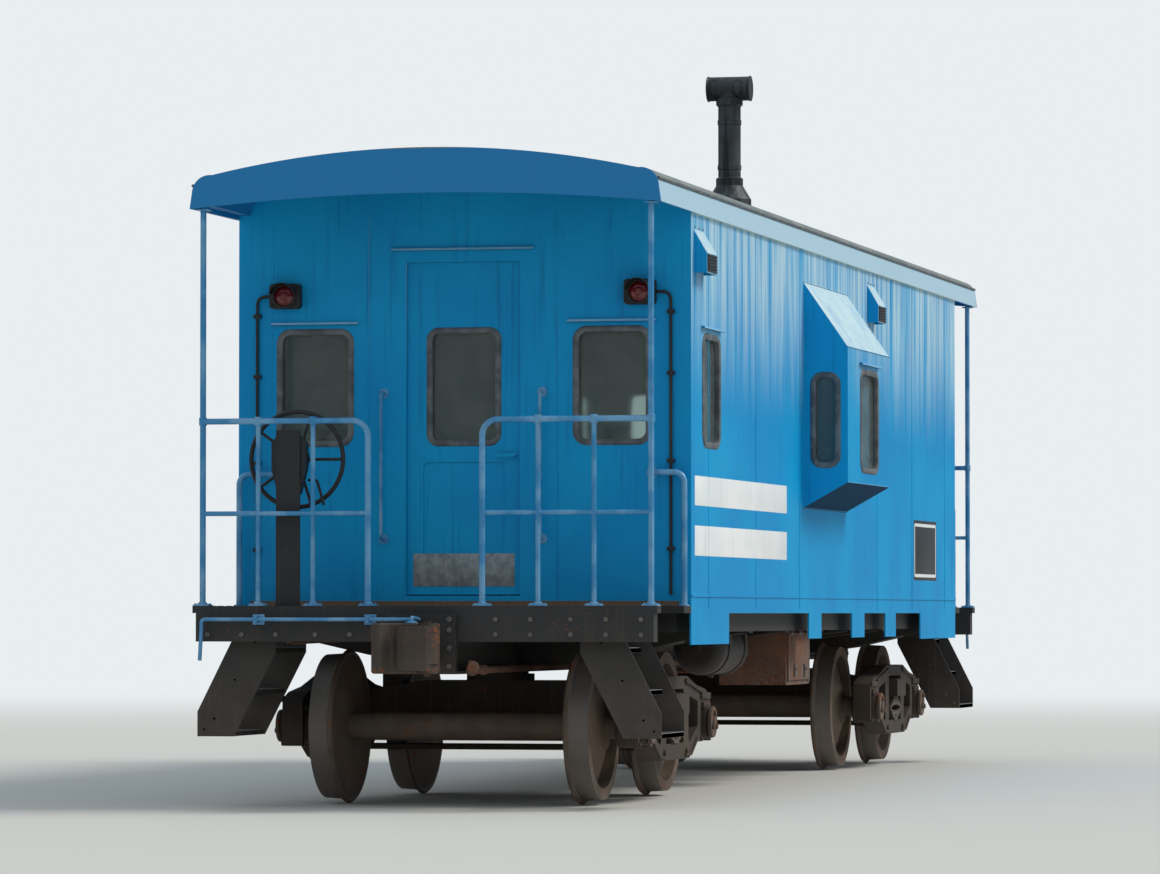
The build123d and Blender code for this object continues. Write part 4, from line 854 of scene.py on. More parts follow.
# Marker lamps: bezel, visor, fluted lens, screws, and a conduit that runs down the wall in clips
lamp = {"radius": 58 * mm, "flutes": 6, "flute": 1.5 * mm, "dome": 26 * mm, "fit": 0.9,
        "visor": 70 * mm, "visorRadius": 74 * mm, "visorAngles": range(10, 171, 16), "visorSheet": 1.5 * mm,
        "screwY": 70 * mm, "screwZ": 52 * mm, "screw": (11 * mm, 5 * mm)}
bezel = [(0.058, 0.0), (0.058, 0.010), (0.062, 0.014), (0.071, 0.012), (0.073, 0.0)]
conduit = {"y": 1.225, "out": 14 * mm, "low": 1.20, "bend": 0.05, "radius": 9 * mm,
           "clips": (1.45, 1.95, 2.45, 2.80), "clip": 22 * mm, "clipThick": 12 * mm}


def makeLamps():
    fittings, lenses = bmesh.new(), bmesh.new()
    for low, high in solidsOf("marker_lenses"):
        end = 1 if low.x > 0 else -1
        back = low.x if end > 0 else high.x
        centre = Vector((back, (low.y + high.y) / 2, (low.z + high.z) / 2))
        profile = [(lamp["radius"], 0)]
        rings = lamp["flutes"] * 2
        for k in range(rings + 1):
            share = 1 - k / rings
            crest = (lamp["flute"] if k % 2 else 0) + lamp["dome"] * (1 - share ** 2)
            profile.append((lamp["radius"] * share, crest * lamp["fit"]))
        turned(lenses, profile, centre, (end, 0, 0), steps=40)
        turned(fittings, bezel, centre, (end, 0, 0), steps=40)
        spokes = [(math.cos(math.radians(a)), math.sin(math.radians(a))) for a in lamp["visorAngles"]]
        arc = [centre + Vector((0, y, z)) * lamp["visorRadius"] for y, z in spokes]
        half, reach = lamp["visorSheet"], end * lamp["visor"]
        sweep(fittings, arc, [(-half, 0), (-half, reach), (half, reach), (half, 0)], facing=(1, 0, 0))
        for dy in (-lamp["screwY"], lamp["screwY"]):
            for dz in (-lamp["screwZ"], lamp["screwZ"]):
                hexHead(fittings, centre + Vector((0, dy, dz)), (end, 0, 0), *lamp["screw"])
        x, y = end * (bodyEnd + conduit["out"]), math.copysign(conduit["y"], centre.y)
        run = [(x, centre.y, centre.z), (x, y, centre.z), (x, y, conduit["low"])]
        tube(fittings, bent(run, conduit["bend"]), conduit["radius"], count=8)
        clip = conduit["clip"]
        for z in conduit["clips"]:
            slab(fittings, (end * bodyEnd, y - clip, z), (x + end * conduit["clipThick"], y + clip, z + clip))
    piece("lamp_fittings", fittings, "carbody", blackFrame)
    lensPiece = piece("marker_lens_domes", lenses, "carbody", redLens, smoothTo=12)
    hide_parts("marker_lenses")


makeLamps()
print("marker lamps fitted")


# Railings: bolted feet and collars, rings where the top rail meets the posts, pads under the roof, and the
# flanges of the corner handrails
railing = {"posts": (1.295, 0.970, 0.650, 0.330), "foot": 46 * mm, "footThick": 8 * mm, "boltAt": 32 * mm,
           "bolt": (15 * mm, 7 * mm), "topRail": 2.175, "ringsFrom": 0.4,
           "pad": 40 * mm, "padOut": 35 * mm, "padLow": 3.368, "padHigh": 3.376}
footCollar = [(0.0175, 0.0), (0.026, 0.0), (0.024, 0.012), (0.0175, 0.016)]
railRing = [(0.018, -0.024), (0.0225, -0.020), (0.0225, 0.020), (0.018, 0.024)]
handrail = {"out": 0.07, "footY": 1.315, "wallY": 1.115, "wallZ": 1.895}
handrailFoot = [(0.0175, 0.0), (0.030, 0.0), (0.030, 0.008), (0.0175, 0.010)]
handrailFlange = [(0.0175, 0.0), (0.032, 0.0), (0.032, 0.007), (0.0175, 0.009)]


def makeRailingDetails():
    bm = bmesh.new()
    foot, boltAt, up = railing["foot"], railing["boltAt"], (0, 0, 1)
    footTop = deckTop + railing["footThick"]
    for endName, end in ends:
        low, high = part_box(f"railing_{endName}")
        x = (low.x + high.x) / 2
        for side in bothWays:
            for post in railing["posts"]:
                y = side * post
                slab(bm, (x - foot, y - foot, deckTop), (x + foot, y + foot, footTop))
                for dx in (-boltAt, boltAt):
                    for dy in (-boltAt, boltAt):
                        hexHead(bm, (x + dx, y + dy, footTop), up, *railing["bolt"])
                turned(bm, footCollar, (x, y, footTop), up, steps=16)
                if post > railing["ringsFrom"]:
                    turned(bm, railRing, (x, y, railing["topRail"]), up, steps=16)
            pad, y = railing["pad"], side * railing["posts"][0]
            slab(bm, (x - pad, y - pad, railing["padLow"]),
                 (x + pad, y + railing["padOut"], railing["padHigh"]))
    for low, high in solidsOf("corner_handrails"):
        side = 1 if low.y > 0 else -1
        end = 1 if low.x > 0 else -1
        footX = end * (bodyEnd + handrail["out"])
        turned(bm, handrailFoot, (footX, side * handrail["footY"], deckTop), up, steps=20)
        turned(bm, handrailFlange, (end * bodyEnd, side * handrail["wallY"], handrail["wallZ"]),
               (end, 0, 0), steps=20)
    piece("railing_fittings", bm, "carbody", railEnamel)


makeRailingDetails()
print("railings fitted")


# Bar gratings on the steps: bars across each tread, three bars along it and a nosing plate
tread = {"steps": ((0.898, 0.890, 1.090), (0.662, 1.015, 1.215), (0.425, 1.140, 1.340)),  # top, inner, outer
         "from": 4.797, "to": 5.383, "barPitch": 30 * mm, "bar": 3 * mm, "proud": 4 * mm, "sunk": 1 * mm,
         "longHalf": 2 * mm, "longInset": 4 * mm, "longShare": 0.7, "nosing": 6 * mm, "nosingDrop": 26 * mm,
         "nosingEdge": 1 * mm}


def makeStepGratings():
    bm = bmesh.new()
    first, last, proud, half = tread["from"], tread["to"], tread["proud"], tread["bar"] / 2
    count = int((last - first) / tread["barPitch"])
    for end in bothWays:
        for side in bothWays:
            for top, inner, outer in tread["steps"]:
                low = top - tread["sunk"]
                for k in range(count + 1):
                    x = end * (first + k * tread["barPitch"])
                    slab(bm, (x - half, side * inner, low), (x + half, side * outer, top + proud), edge=0)
                for y in (inner + tread["longInset"], (inner + outer) / 2, outer - tread["longInset"]):
                    slab(bm, (end * first, side * y - tread["longHalf"], low),
                         (end * last, side * y + tread["longHalf"], top + proud * tread["longShare"]), edge=0)
                slab(bm, (end * first, side * (outer - tread["nosing"]), top - tread["nosingDrop"]),
                     (end * last, side * outer, top + proud), tread["nosingEdge"])
    piece("step_gratings", bm, "carbody", stepGrating)


# Raised lozenges on the platform decks, clear of the step wells and of the railing's feet
lozenge = {"pitch": 44 * mm, "half": 15 * mm, "halfWide": 5 * mm, "ridge": 8 * mm, "high": 1.8 * mm,
           "turn": 45, "wellFrom": 4.775, "wellTo": 5.405, "wellInner": 0.862, "feetFrom": 5.40,
           "footGap": 0.06}


def bareDeck(x, y):
    inWell = lozenge["wellFrom"] < x < lozenge["wellTo"] and abs(y) > lozenge["wellInner"]
    fromPost = min(abs(abs(y) - post) for post in railing["posts"])
    return not inWell and not (x > lozenge["feetFrom"] and fromPost < lozenge["footGap"])


def makeDeckLozenges():
    bm = bmesh.new()
    pitch, ridgeHalf = lozenge["pitch"], lozenge["ridge"]
    half, halfWide = lozenge["half"], lozenge["halfWide"]
    for end in bothWays:
        for i in range(int((roofEnd - bodyEnd) / pitch)):
            for j in range(int(2 * wallFace / pitch)):
                x, y = bodyEnd + (i + 0.5) * pitch, -wallFace + (j + 0.5) * pitch
                if not bareDeck(x, y):
                    continue
                turn = math.radians(lozenge["turn"] if (i + j) % 2 else -lozenge["turn"])
                way = Vector((math.cos(turn), math.sin(turn), 0))
                cross = Vector((-math.sin(turn), math.cos(turn), 0))
                centre = Vector((end * x, y, deckTop))
                base = [bm.verts.new(centre + way * a + cross * b) for a, b in
                        ((half, 0), (0, halfWide), (-half, 0), (0, -halfWide))]
                ridge = [bm.verts.new(centre + way * a + Vector((0, 0, lozenge["high"])))
                         for a in (ridgeHalf, -ridgeHalf)]
                bm.faces.new((base[0], base[1], ridge[0]))
                bm.faces.new((base[1], base[2], ridge[1], ridge[0]))
                bm.faces.new((base[2], base[3], ridge[1]))
                bm.faces.new((base[3], base[0], ridge[0], ridge[1]))
                bm.faces.new((base[3], base[2], base[1], base[0]))
    piece("deck_lozenges", bm, "carbody", blackFrame)


makeStepGratings()
makeDeckLozenges()
print("treads made")


# Bolts on the end sills, the strikers, the step stringers and the vent hoods. A size is across flats, height
fasteners = {
    "sillY": (-1.25, -1.05, -0.85, -0.62, -0.42, 0.42, 0.62, 0.85, 1.05, 1.25), "sillZ": (1.06, 0.975),
    "sill": (26 * mm, 12 * mm),
    "strikerY": (-0.165, 0.165), "strikerZ": (0.80, 0.90, 1.00, 1.06), "strikerOut": 0.04,
    "striker": (28 * mm, 13 * mm),
    "stringerX": (4.777, 5.393), "stringerMiddle": 5,
    "stringerYZ": ((0.93, 1.05), (1.0, 0.93), (1.12, 0.72), (1.24, 0.50), (1.30, 0.44)),
    "stringer": (16 * mm, 7 * mm),
    "hoodInset": 0.03, "hoodAbove": 0.012, "hood": (10 * mm, 5 * mm),
}


def makeFasteners():
    bm = bmesh.new()
    for end in bothWays:
        face, struck = end * roofEnd, end * roofEnd + end * fasteners["strikerOut"]
        for y in fasteners["sillY"]:
            for z in fasteners["sillZ"]:
                hexHead(bm, (face, y, z), (end, 0, 0), *fasteners["sill"])
        for y in fasteners["strikerY"]:
            for z in fasteners["strikerZ"]:
                hexHead(bm, (struck, y, z), (end, 0, 0), *fasteners["striker"])
        for side in bothWays:
            for x in fasteners["stringerX"]:
                outward = end if x > fasteners["stringerMiddle"] else -end
                for y, z in fasteners["stringerYZ"]:
                    hexHead(bm, (end * x, side * y, z), (outward, 0, 0), *fasteners["stringer"])
    for low, high in solidsOf("vent_hoods"):
        side = 1 if low.y > 0 else -1
        inset, z = fasteners["hoodInset"], high.z + fasteners["hoodAbove"]
        for x in (low.x + inset, (low.x + high.x) / 2, high.x - inset):
            hexHead(bm, (x, side * wallFace, z), (0, side, 0), *fasteners["hood"])
    piece("fasteners", bm, "carbody", platedBolt)


# Slats low on each vent hood's outer face over a plate, both dark: painted shade of the louvre's openings
louvre = {"count": 6, "first": 12 * mm, "pitch": 17.5 * mm, "inset": 18 * mm, "plateInset": 10 * mm,
          "plateLow": 6 * mm, "plateUnderTop": 140 * mm, "plateThick": 1.5 * mm, "plateEdge": 0.5 * mm}
slatSection = [(-0.004, 0.0), (-0.006, 0.007), (0.0, 0.008), (0.006, 0.0)]


def makeHoodLouvres():
    bm = bmesh.new()
    for low, high in solidsOf("vent_hoods"):
        side = 1 if low.y > 0 else -1
        face = high.y if side > 0 else low.y
        inset = louvre["inset"]
        for number in range(louvre["count"]):
            z = low.z + louvre["first"] + number * louvre["pitch"]
            slat = [(low.x + inset, face, z), (high.x - inset, face, z)]
            sweep(bm, slat[::-side], slatSection, facing=(0, side, 0))
        # the dark plate behind the slats: painted shade of the louvre's openings
        inset = louvre["plateInset"]
        slab(bm, (low.x + inset, face, low.z + louvre["plateLow"]),
             (high.x - inset, face + side * louvre["plateThick"], high.z - louvre["plateUnderTop"]),
             louvre["plateEdge"])
    piece("hood_louvres", bm, "carbody", panelPaintAndLouvreShade)


# Hand brake: a ring of bolts and a boss on the housing, a nut on the wheel's hub, and the bent pawl handle
handBrake = {"housing": 80 * mm, "boltRing": 85 * mm, "boltStep": 45, "bolt": (14 * mm, 7 * mm),
             "boss": [(0.10, 0.0), (0.10, 0.006), (0.06, 0.014), (0.03, 0.016)],
             "nut": (34 * mm, 16 * mm), "nutSunk": 1 * mm, "pawlRod": 8 * mm, "pawlBend": 20 * mm,
             "pawl": [(-0.02, -0.10, -0.12), (0.05, -0.13, -0.12), (0.05, -0.17, -0.26)]}


def makeHandBrakeDetails():
    bm = bmesh.new()
    low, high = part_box("brake_wheel")
    hub = Vector((low.x, (low.y + high.y) / 2, (low.z + high.z) / 2))
    housing = Vector((hub.x - handBrake["housing"], hub.y, hub.z))
    for a in range(0, 360, handBrake["boltStep"]):
        out = Vector((0, math.cos(math.radians(a)), math.sin(math.radians(a))))
        hexHead(bm, housing + out * handBrake["boltRing"], (1, 0, 0), *handBrake["bolt"])
    turned(bm, handBrake["boss"], housing, (1, 0, 0), steps=40)
    hexHead(bm, (high.x - handBrake["nutSunk"], hub.y, hub.z), (1, 0, 0), *handBrake["nut"])
    pawl = [housing + Vector(point) for point in handBrake["pawl"]]
    tube(bm, bent(pawl, handBrake["pawlBend"]), handBrake["pawlRod"], count=10)
    piece("hand_brake_fittings", bm, "carbody", blackFrame)


makeFasteners()
makeHoodLouvres()
makeHandBrakeDetails()
print("fasteners made")


# Uncoupling levers: a rod across half of each end sill in two stands, with a handle outside and an arm over
# the coupler
lever = {"rod": 11 * mm, "out": 56 * mm, "height": 1.060, "bend": 28 * mm,
         "handleY": 1.27, "handleDrop": 0.23, "handleOut": 0.03, "elbow": 0.05,
         "armReach": 0.235, "armRise": 12 * mm, "headDown": 12 * mm,
         "stands": (0.95, 0.30), "standHalf": 10 * mm, "standOut": 17 * mm, "standUp": 20 * mm,
         "standEdge": 3 * mm, "footHalf": 35 * mm, "footThick": 7 * mm, "footDown": 30 * mm,
         "footUp": 28 * mm, "pad": [(0.036, -0.002), (0.036, 0.006), (0.020, 0.014)], "padDown": 4 * mm}


def makeUncouplingLevers():
    bm = bmesh.new()
    half, foot = lever["standHalf"], lever["footHalf"]
    for endName, end in ends:
        face, x, z = end * roofEnd, end * (roofEnd + lever["out"]), lever["height"]
        outer, armX = -end * lever["handleY"], end * (roofEnd + lever["armReach"])
        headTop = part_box(f"coupler_{endName}")[1].z - lever["headDown"]
        route = [(x + end * lever["handleOut"], outer, z - lever["handleDrop"]),
                 (x, outer, z - lever["elbow"]), (x, outer, z), (x, 0, z),
                 (armX, 0, z + lever["armRise"]), (armX, 0, headTop)]
        tube(bm, bent(route, lever["bend"]), lever["rod"], count=12)
        for stand in lever["stands"]:
            y = -end * stand
            slab(bm, (face, y - half, z - lever["standUp"]),
                 (x + end * lever["standOut"], y + half, z + lever["standUp"]), lever["standEdge"])
            slab(bm, (face, y - foot, z - lever["footDown"]),
                 (end * (roofEnd + lever["footThick"]), y + foot, z + lever["footUp"]))
        turned(bm, lever["pad"], (armX, 0, headTop - lever["padDown"]), (0, 0, 1), steps=20)
    piece("uncoupling_levers", bm, "carbody", railEnamel)


# Beside the doors: grab irons on the end walls, riveted kick plates on the doors
grab = {"y": 0.47, "low": 1.52, "high": 2.36, "out": 62 * mm, "rod": 11 * mm, "bend": 35 * mm,
        "collar": [(0.011, 0.006), (0.028, 0.006), (0.030, 0.0)]}
kickPlate = {"half": 0.30, "low": 0.045, "high": 0.235, "thick": 2 * mm, "edge": 0.6 * mm,
             "rivetY": (-0.27, -0.09, 0.09, 0.27), "rivetZ": (0.065, 0.215),
             "rivet": [(0.006, 0.0), (0.005, 0.0018), (0.002, 0.0026)]}


def makeDoorwayFittings():
    bm = bmesh.new()
    for end in bothWays:
        wallX, outX = end * bodyEnd, end * (bodyEnd + grab["out"])
        for y in (-grab["y"], grab["y"]):
            route = [(wallX, y, grab["high"]), (outX, y, grab["high"]), (outX, y, grab["low"]),
                     (wallX, y, grab["low"])]
            tube(bm, bent(route, grab["bend"]), grab["rod"], count=12)
            for z in (grab["low"], grab["high"]):
                turned(bm, grab["collar"], (wallX, y, z), (end, 0, 0), steps=20)
    piece("door_grab_irons", bm, "carbody", railEnamel)
    for endName, end in ends:
        bm = bmesh.new()
        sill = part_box(f"door_{endName}")[0].z
        skin = doorSkin(endName, end)
        face = skin + end * kickPlate["thick"]
        slab(bm, (skin, -kickPlate["half"], sill + kickPlate["low"]),
             (face, kickPlate["half"], sill + kickPlate["high"]), kickPlate["edge"])
        for y in kickPlate["rivetY"]:
            for z in kickPlate["rivetZ"]:
                turned(bm, kickPlate["rivet"], (face, y, sill + z), (end, 0, 0), steps=12)
        piece(f"kick_plate_{endName}", bm, f"door_{endName}", stepGrating)


makeUncouplingLevers()
makeDoorwayFittings()
print("levers, grab irons and kick plates made")


# Stack: clamp bands with their lugs and bolts, rolled rims on the tee and a sleeve below it
stack = {"pipe": 70 * mm, "bands": (3.86, 4.14, 4.28), "lug": 28 * mm, "lugHalf": 12 * mm, "lugUp": 14 * mm,
         "boltOut": 18 * mm, "bolt": (12 * mm, 7 * mm), "teeDown": 75 * mm, "sleeveDown": 55 * mm}
bandProfile = [(0.070, -0.016), (0.074, -0.014), (0.074, 0.014), (0.070, 0.016)]
teeRim = [(0.0755, -0.010), (0.0795, -0.006), (0.0795, 0.0), (0.0755, 0.0)]
sleeveProfile = [(0.070, 0.0), (0.083, -0.004), (0.083, -0.045), (0.070, -0.060)]


def makeStackDetails():
    bm = bmesh.new()
    low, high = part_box("stack")
    centre = Vector(((low.x + high.x) / 2, (low.y + high.y) / 2, 0))
    pipe, half, up = stack["pipe"], stack["lugHalf"], stack["lugUp"]
    for z in stack["bands"]:
        turned(bm, bandProfile, centre + Vector((0, 0, z)), (0, 0, 1), steps=40)
        slab(bm, centre + Vector((pipe, -half, z - up)), centre + Vector((pipe + stack["lug"], half, z + up)))
        hexHead(bm, centre + Vector((pipe + stack["boltOut"], half, z)), (0, 1, 0), *stack["bolt"])
    teeZ = high.z - stack["teeDown"]
    for y, way in ((low.y, -1), (high.y, 1)):
        turned(bm, teeRim, (centre.x, y, teeZ), (0, way, 0), steps=40)
    turned(bm, sleeveProfile, centre + Vector((0, 0, teeZ - stack["sleeveDown"])), (0, 0, 1), steps=40)
    piece("stack_bands", bm, "carbody", flueSteel)


makeStackDetails()
print("stack dressed")


# Bolts and a rim on the bearing caps, which turn with the axles
cap = {"boltAngles": (90, 210, 330), "boltRing": 52 * mm, "bolt": (32 * mm, 15 * mm),
       "centre": [(0.030, -0.001), (0.030, 0.006), (0.012, 0.008)],
       "rim": [(0.0925, -0.019), (0.0945, -0.017), (0.0945, -0.007), (0.0925, -0.005)]}
# On the truck frames: bolts and a tie bar round each bearing, column bolts, spring seats, stiffening ribs
truck = {"outer": 1.050, "bearingBolts": ((-0.12, 0.60), (0.12, 0.60), (-0.12, 0.345), (0.12, 0.345)),
         "bearingBolt": (26 * mm, 12 * mm), "tieHalf": 0.13, "tieLow": 0.583, "tieHigh": 0.618,
         "tieThick": 12 * mm, "columnX": 0.30, "columnZ": (0.69, 0.285), "columnBolt": (30 * mm, 14 * mm),
         "seatZ": (0.36, 0.48), "seatHalf": 45 * mm, "seatThick": 12 * mm, "seatFrom": 0.915, "seatTo": 1.065,
         "ribs": (((0.27, 0.70), (0.60, 0.645), (0.74, 0.625)),
                  ((0.27, 0.262), (0.42, 0.262), (0.60, 0.352))),
         "ribOut": 4 * mm, "ribSection": [(-0.008, -0.006), (-0.008, 0.008), (0.008, 0.008), (0.008, -0.006)]}


def makeCapBolts(number):
    bm = bmesh.new()
    low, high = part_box(f"wheelset_{number}")
    axle = (low + high) / 2
    for side in bothWays:
        face, out = Vector((axle.x, side * high.y, axle.z)), (0, side, 0)
        for a in cap["boltAngles"]:
            spoke = Vector((math.cos(math.radians(a)), 0, math.sin(math.radians(a))))
            hexHead(bm, face + spoke * cap["boltRing"], out, *cap["bolt"])
        turned(bm, cap["centre"], face, out, steps=24)
        turned(bm, cap["rim"], face, out, steps=40)
    piece(f"axle_cap_bolts_{number}", bm, f"wheelset_{number}", castSteel)


def makeTruckFittings(endName):
    bm = bmesh.new()
    low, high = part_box(f"truck_frame_{endName}")
    middle = (low.x + high.x) / 2
    for side in bothWays:
        outer, out = side * truck["outer"], (0, side, 0)
        for way in (-1, 1):
            axleX = middle + way * axles["fromTruck"]
            for dx, z in truck["bearingBolts"]:
                hexHead(bm, (axleX + dx, outer, z), out, *truck["bearingBolt"])
            slab(bm, (axleX - truck["tieHalf"], outer, truck["tieLow"]),
                 (axleX + truck["tieHalf"], side * (truck["outer"] + truck["tieThick"]), truck["tieHigh"]))
            for z in truck["columnZ"]:
                hexHead(bm, (middle + way * truck["columnX"], outer, z), out, *truck["columnBolt"])
        for z in truck["seatZ"]:
            slab(bm, (middle - truck["seatHalf"], side * truck["seatFrom"], z),
                 (middle + truck["seatHalf"], side * truck["seatTo"], z + truck["seatThick"]))
        for points in truck["ribs"]:
            for way in (-1, 1):
                rib = [(middle + way * x, side * (truck["outer"] + truck["ribOut"]), z) for x, z in points]
                sweep(bm, rib if way * side < 0 else rib[::-1], truck["ribSection"], facing=out)
    piece(f"truck_fittings_{endName}", bm, f"truck_{endName}", truckCasting)


for wheelsetNumber in range(1, 5):
    makeCapBolts(wheelsetNumber)
for truckEnd in "ab":
    makeTruckFittings(truckEnd)
print("trucks dressed")


# Under the floor: air pipes and a conduit, each with its radius and the points of its run
underfloorPipes = [
    (11 * mm, [(-1.35, -0.85, 0.73), (-1.35, -0.50, 0.73), (-0.35, -0.50, 0.73), (-0.35, 0.40, 0.738),
               (0.34, 0.40, 0.738), (0.34, 0.56, 0.86)]),
    (9 * mm, [(0.45, 0.62, 1.03), (0.45, 1.02, 1.03), (-2.6, 1.02, 1.03)]),
    (11 * mm, [(-4.4, 1.10, 1.045), (4.4, 1.10, 1.045)]),
]
pipeBend = 70 * mm
# On the tool box's outer face: three hinges, two hasps with their pins, and two corner straps
toolBox = {"hingeInset": 0.12, "hingeHalf": 35 * mm, "hingeLow": 0.955, "hingeHigh": 0.985, "pinZ": 0.970,
           "pinHalf": 40 * mm, "pin": 7 * mm, "plateOut": 6 * mm, "sunk": 4 * mm,
           "haspInset": 0.22, "haspHalf": 20 * mm, "haspOut": 12 * mm, "haspLow": 0.690, "haspHigh": 0.770,
           "staple": 6 * mm, "stapleHalf": 12 * mm, "stapleOut": 16 * mm, "stapleZ": 0.74,
           "strapInset": 0.05, "strapHalf": 8 * mm, "strapOut": 2 * mm, "strapIn": 20 * mm, "strapLow": 0.655,
           "strapHigh": 1.0}
# On the air reservoir: a port at each end, bolts on its straps and a drain plug
reservoir = {"height": 0.88, "port": [(0.026, -0.004), (0.026, 0.018), (0.016, 0.020), (0.016, 0.034)],
             "straps": (-1.955, -1.475), "strapY": 0.178, "strapZ": 1.02, "bolt": (20 * mm, 9 * mm),
             "drainDown": 0.163, "drain": [(0.018, 0.0), (0.018, 0.016), (0.010, 0.024)]}


def makePipes():
    bm = bmesh.new()
    for radius, points in underfloorPipes:
        tube(bm, bent(points, pipeBend), radius, count=10)
    piece("underfloor_pipes", bm, "carbody", rustedPlate)


def makeToolBoxHinges():
    bm = bmesh.new()
    low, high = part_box("tool_box")
    face, sunk = low.y, low.y + toolBox["sunk"]
    inset, half = toolBox["hingeInset"], toolBox["hingeHalf"]
    pinY, pinZ, reach = face - toolBox["plateOut"], toolBox["pinZ"], toolBox["pinHalf"]
    for x in (low.x + inset, (low.x + high.x) / 2, high.x - inset):
        slab(bm, (x - half, pinY, toolBox["hingeLow"]), (x + half, sunk, toolBox["hingeHigh"]))
        tube(bm, [(x - reach, pinY, pinZ), (x + reach, pinY, pinZ)], toolBox["pin"], count=8)
    inset, half = toolBox["haspInset"], toolBox["haspHalf"]
    stapleY, stapleZ, reach = face - toolBox["stapleOut"], toolBox["stapleZ"], toolBox["stapleHalf"]
    for x in (low.x + inset, high.x - inset):
        slab(bm, (x - half, face - toolBox["haspOut"], toolBox["haspLow"]),
             (x + half, sunk, toolBox["haspHigh"]))
        tube(bm, [(x - reach, stapleY, stapleZ), (x + reach, stapleY, stapleZ)], toolBox["staple"], count=8)
    inset, half = toolBox["strapInset"], toolBox["strapHalf"]
    for x in (low.x + inset, high.x - inset):
        slab(bm, (x - half, face - toolBox["strapOut"], toolBox["strapLow"]),
             (x + half, face + toolBox["strapIn"], toolBox["strapHigh"]))
    piece("tool_box_hinges", bm, "carbody", platedBolt)


def makeReservoirFittings():
    bm = bmesh.new()
    low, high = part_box("air_reservoir")
    middle = (low + high) / 2
    for x, way in ((low.x, -1), (high.x, 1)):
        turned(bm, reservoir["port"], (x, middle.y, reservoir["height"]), (way, 0, 0), steps=20)
    for x in reservoir["straps"]:
        for way in (-1, 1):
            y = middle.y + way * reservoir["strapY"]
            hexHead(bm, (x, y, reservoir["strapZ"]), (0, way, 0), *reservoir["bolt"])
    drainZ = reservoir["height"] - reservoir["drainDown"]
    turned(bm, reservoir["drain"], (middle.x, middle.y, drainZ), (0, 0, -1), steps=16)
    piece("reservoir_fittings", bm, "carbody", blackFrame)


# Brake rods: a lever on the cylinder's push rod, and a rod along the car to each truck with a fork at its end
rigging = {"rodZ": 0.850, "leverX": 1.045, "leverHalf": 28 * mm, "leverFrom": 0.25, "leverTo": 0.66,
           "leverLow": 13 * mm, "leverHigh": 29 * mm, "leverEdge": 4 * mm,
           "post": 14 * mm, "postY": 0.62, "postUp": 5 * mm, "postTop": 0.95,
           "rods": ((0.40, 2.60), (0.29, -2.60)), "rod": 12 * mm,  # y and far end of each
           "pin": 11 * mm, "pinDown": 16 * mm, "pinUp": 40 * mm,
           "forkY": 16 * mm, "forkHalf": 5 * mm, "forkUp": 25 * mm, "forkBack": 0.05, "forkOut": 0.06,
           "forkEdge": 2 * mm, "forkPin": 9 * mm, "forkPinX": 35 * mm, "forkPinHalf": 28 * mm,
           "hangers": (1.15, 2.30), "hangerX": 18 * mm, "hangerY": 24 * mm, "hangerDown": 20 * mm,
           "hangerTop": 0.888, "hangerEdge": 2 * mm}


def makeBrakeRods():
    bm = bmesh.new()
    z, x = rigging["rodZ"], rigging["leverX"]
    slab(bm, (x - rigging["leverHalf"], rigging["leverFrom"], z + rigging["leverLow"]),
         (x + rigging["leverHalf"], rigging["leverTo"], z + rigging["leverHigh"]), rigging["leverEdge"])
    tube(bm, [(x, rigging["postY"], z + rigging["postUp"]), (x, rigging["postY"], rigging["postTop"])],
         rigging["post"], count=12)
    up, half, edge = rigging["forkUp"], rigging["forkHalf"], rigging["forkEdge"]
    for y, finish in rigging["rods"]:
        way = math.copysign(1, finish)
        tube(bm, [(x, y, z), (finish, y, z)], rigging["rod"], count=12)
        tube(bm, [(x, y, z - rigging["pinDown"]), (x, y, z + rigging["pinUp"])], rigging["pin"], count=12)
        for dy in (-rigging["forkY"], rigging["forkY"]):
            slab(bm, (finish - way * rigging["forkBack"], y + dy - half, z - up),
                 (finish + way * rigging["forkOut"], y + dy + half, z + up), edge)
        pinX, reach = finish + way * rigging["forkPinX"], rigging["forkPinHalf"]
        tube(bm, [(pinX, y - reach, z), (pinX, y + reach, z)], rigging["forkPin"], count=10)
        for hanger in rigging["hangers"]:
            slab(bm, (way * hanger - rigging["hangerX"], y - rigging["hangerY"], z - rigging["hangerDown"]),
                 (way * hanger + rigging["hangerX"], y + rigging["hangerY"], rigging["hangerTop"]),
                 rigging["hangerEdge"])
    piece("brake_rods", bm, "carbody", rustedPlate)


# The hand brake's chain: down from its stand to a sheave in a bracket, and a rod from there to a crank
brakeChain = {"standX": 60 * mm, "top": 1.095, "drop": 0.135, "wire": 9 * mm, "link": 42 * mm,
              "grip": 20 * mm,
              "sheave": [(0.012, -0.016), (0.040, -0.016), (0.028, 0.0), (0.040, 0.016), (0.012, 0.016)],
              "bracket": ((-0.010, 0.018, -0.02), (0.014, 0.026, 0.135)), "rod": 9 * mm,
              "rodFrom": (0.03, 0, -0.034), "crank": (-4.20, 0.45, 0.955), "crankLow": (-0.02, -0.012, -0.03),
              "crankHigh": (0.02, 0.012)}


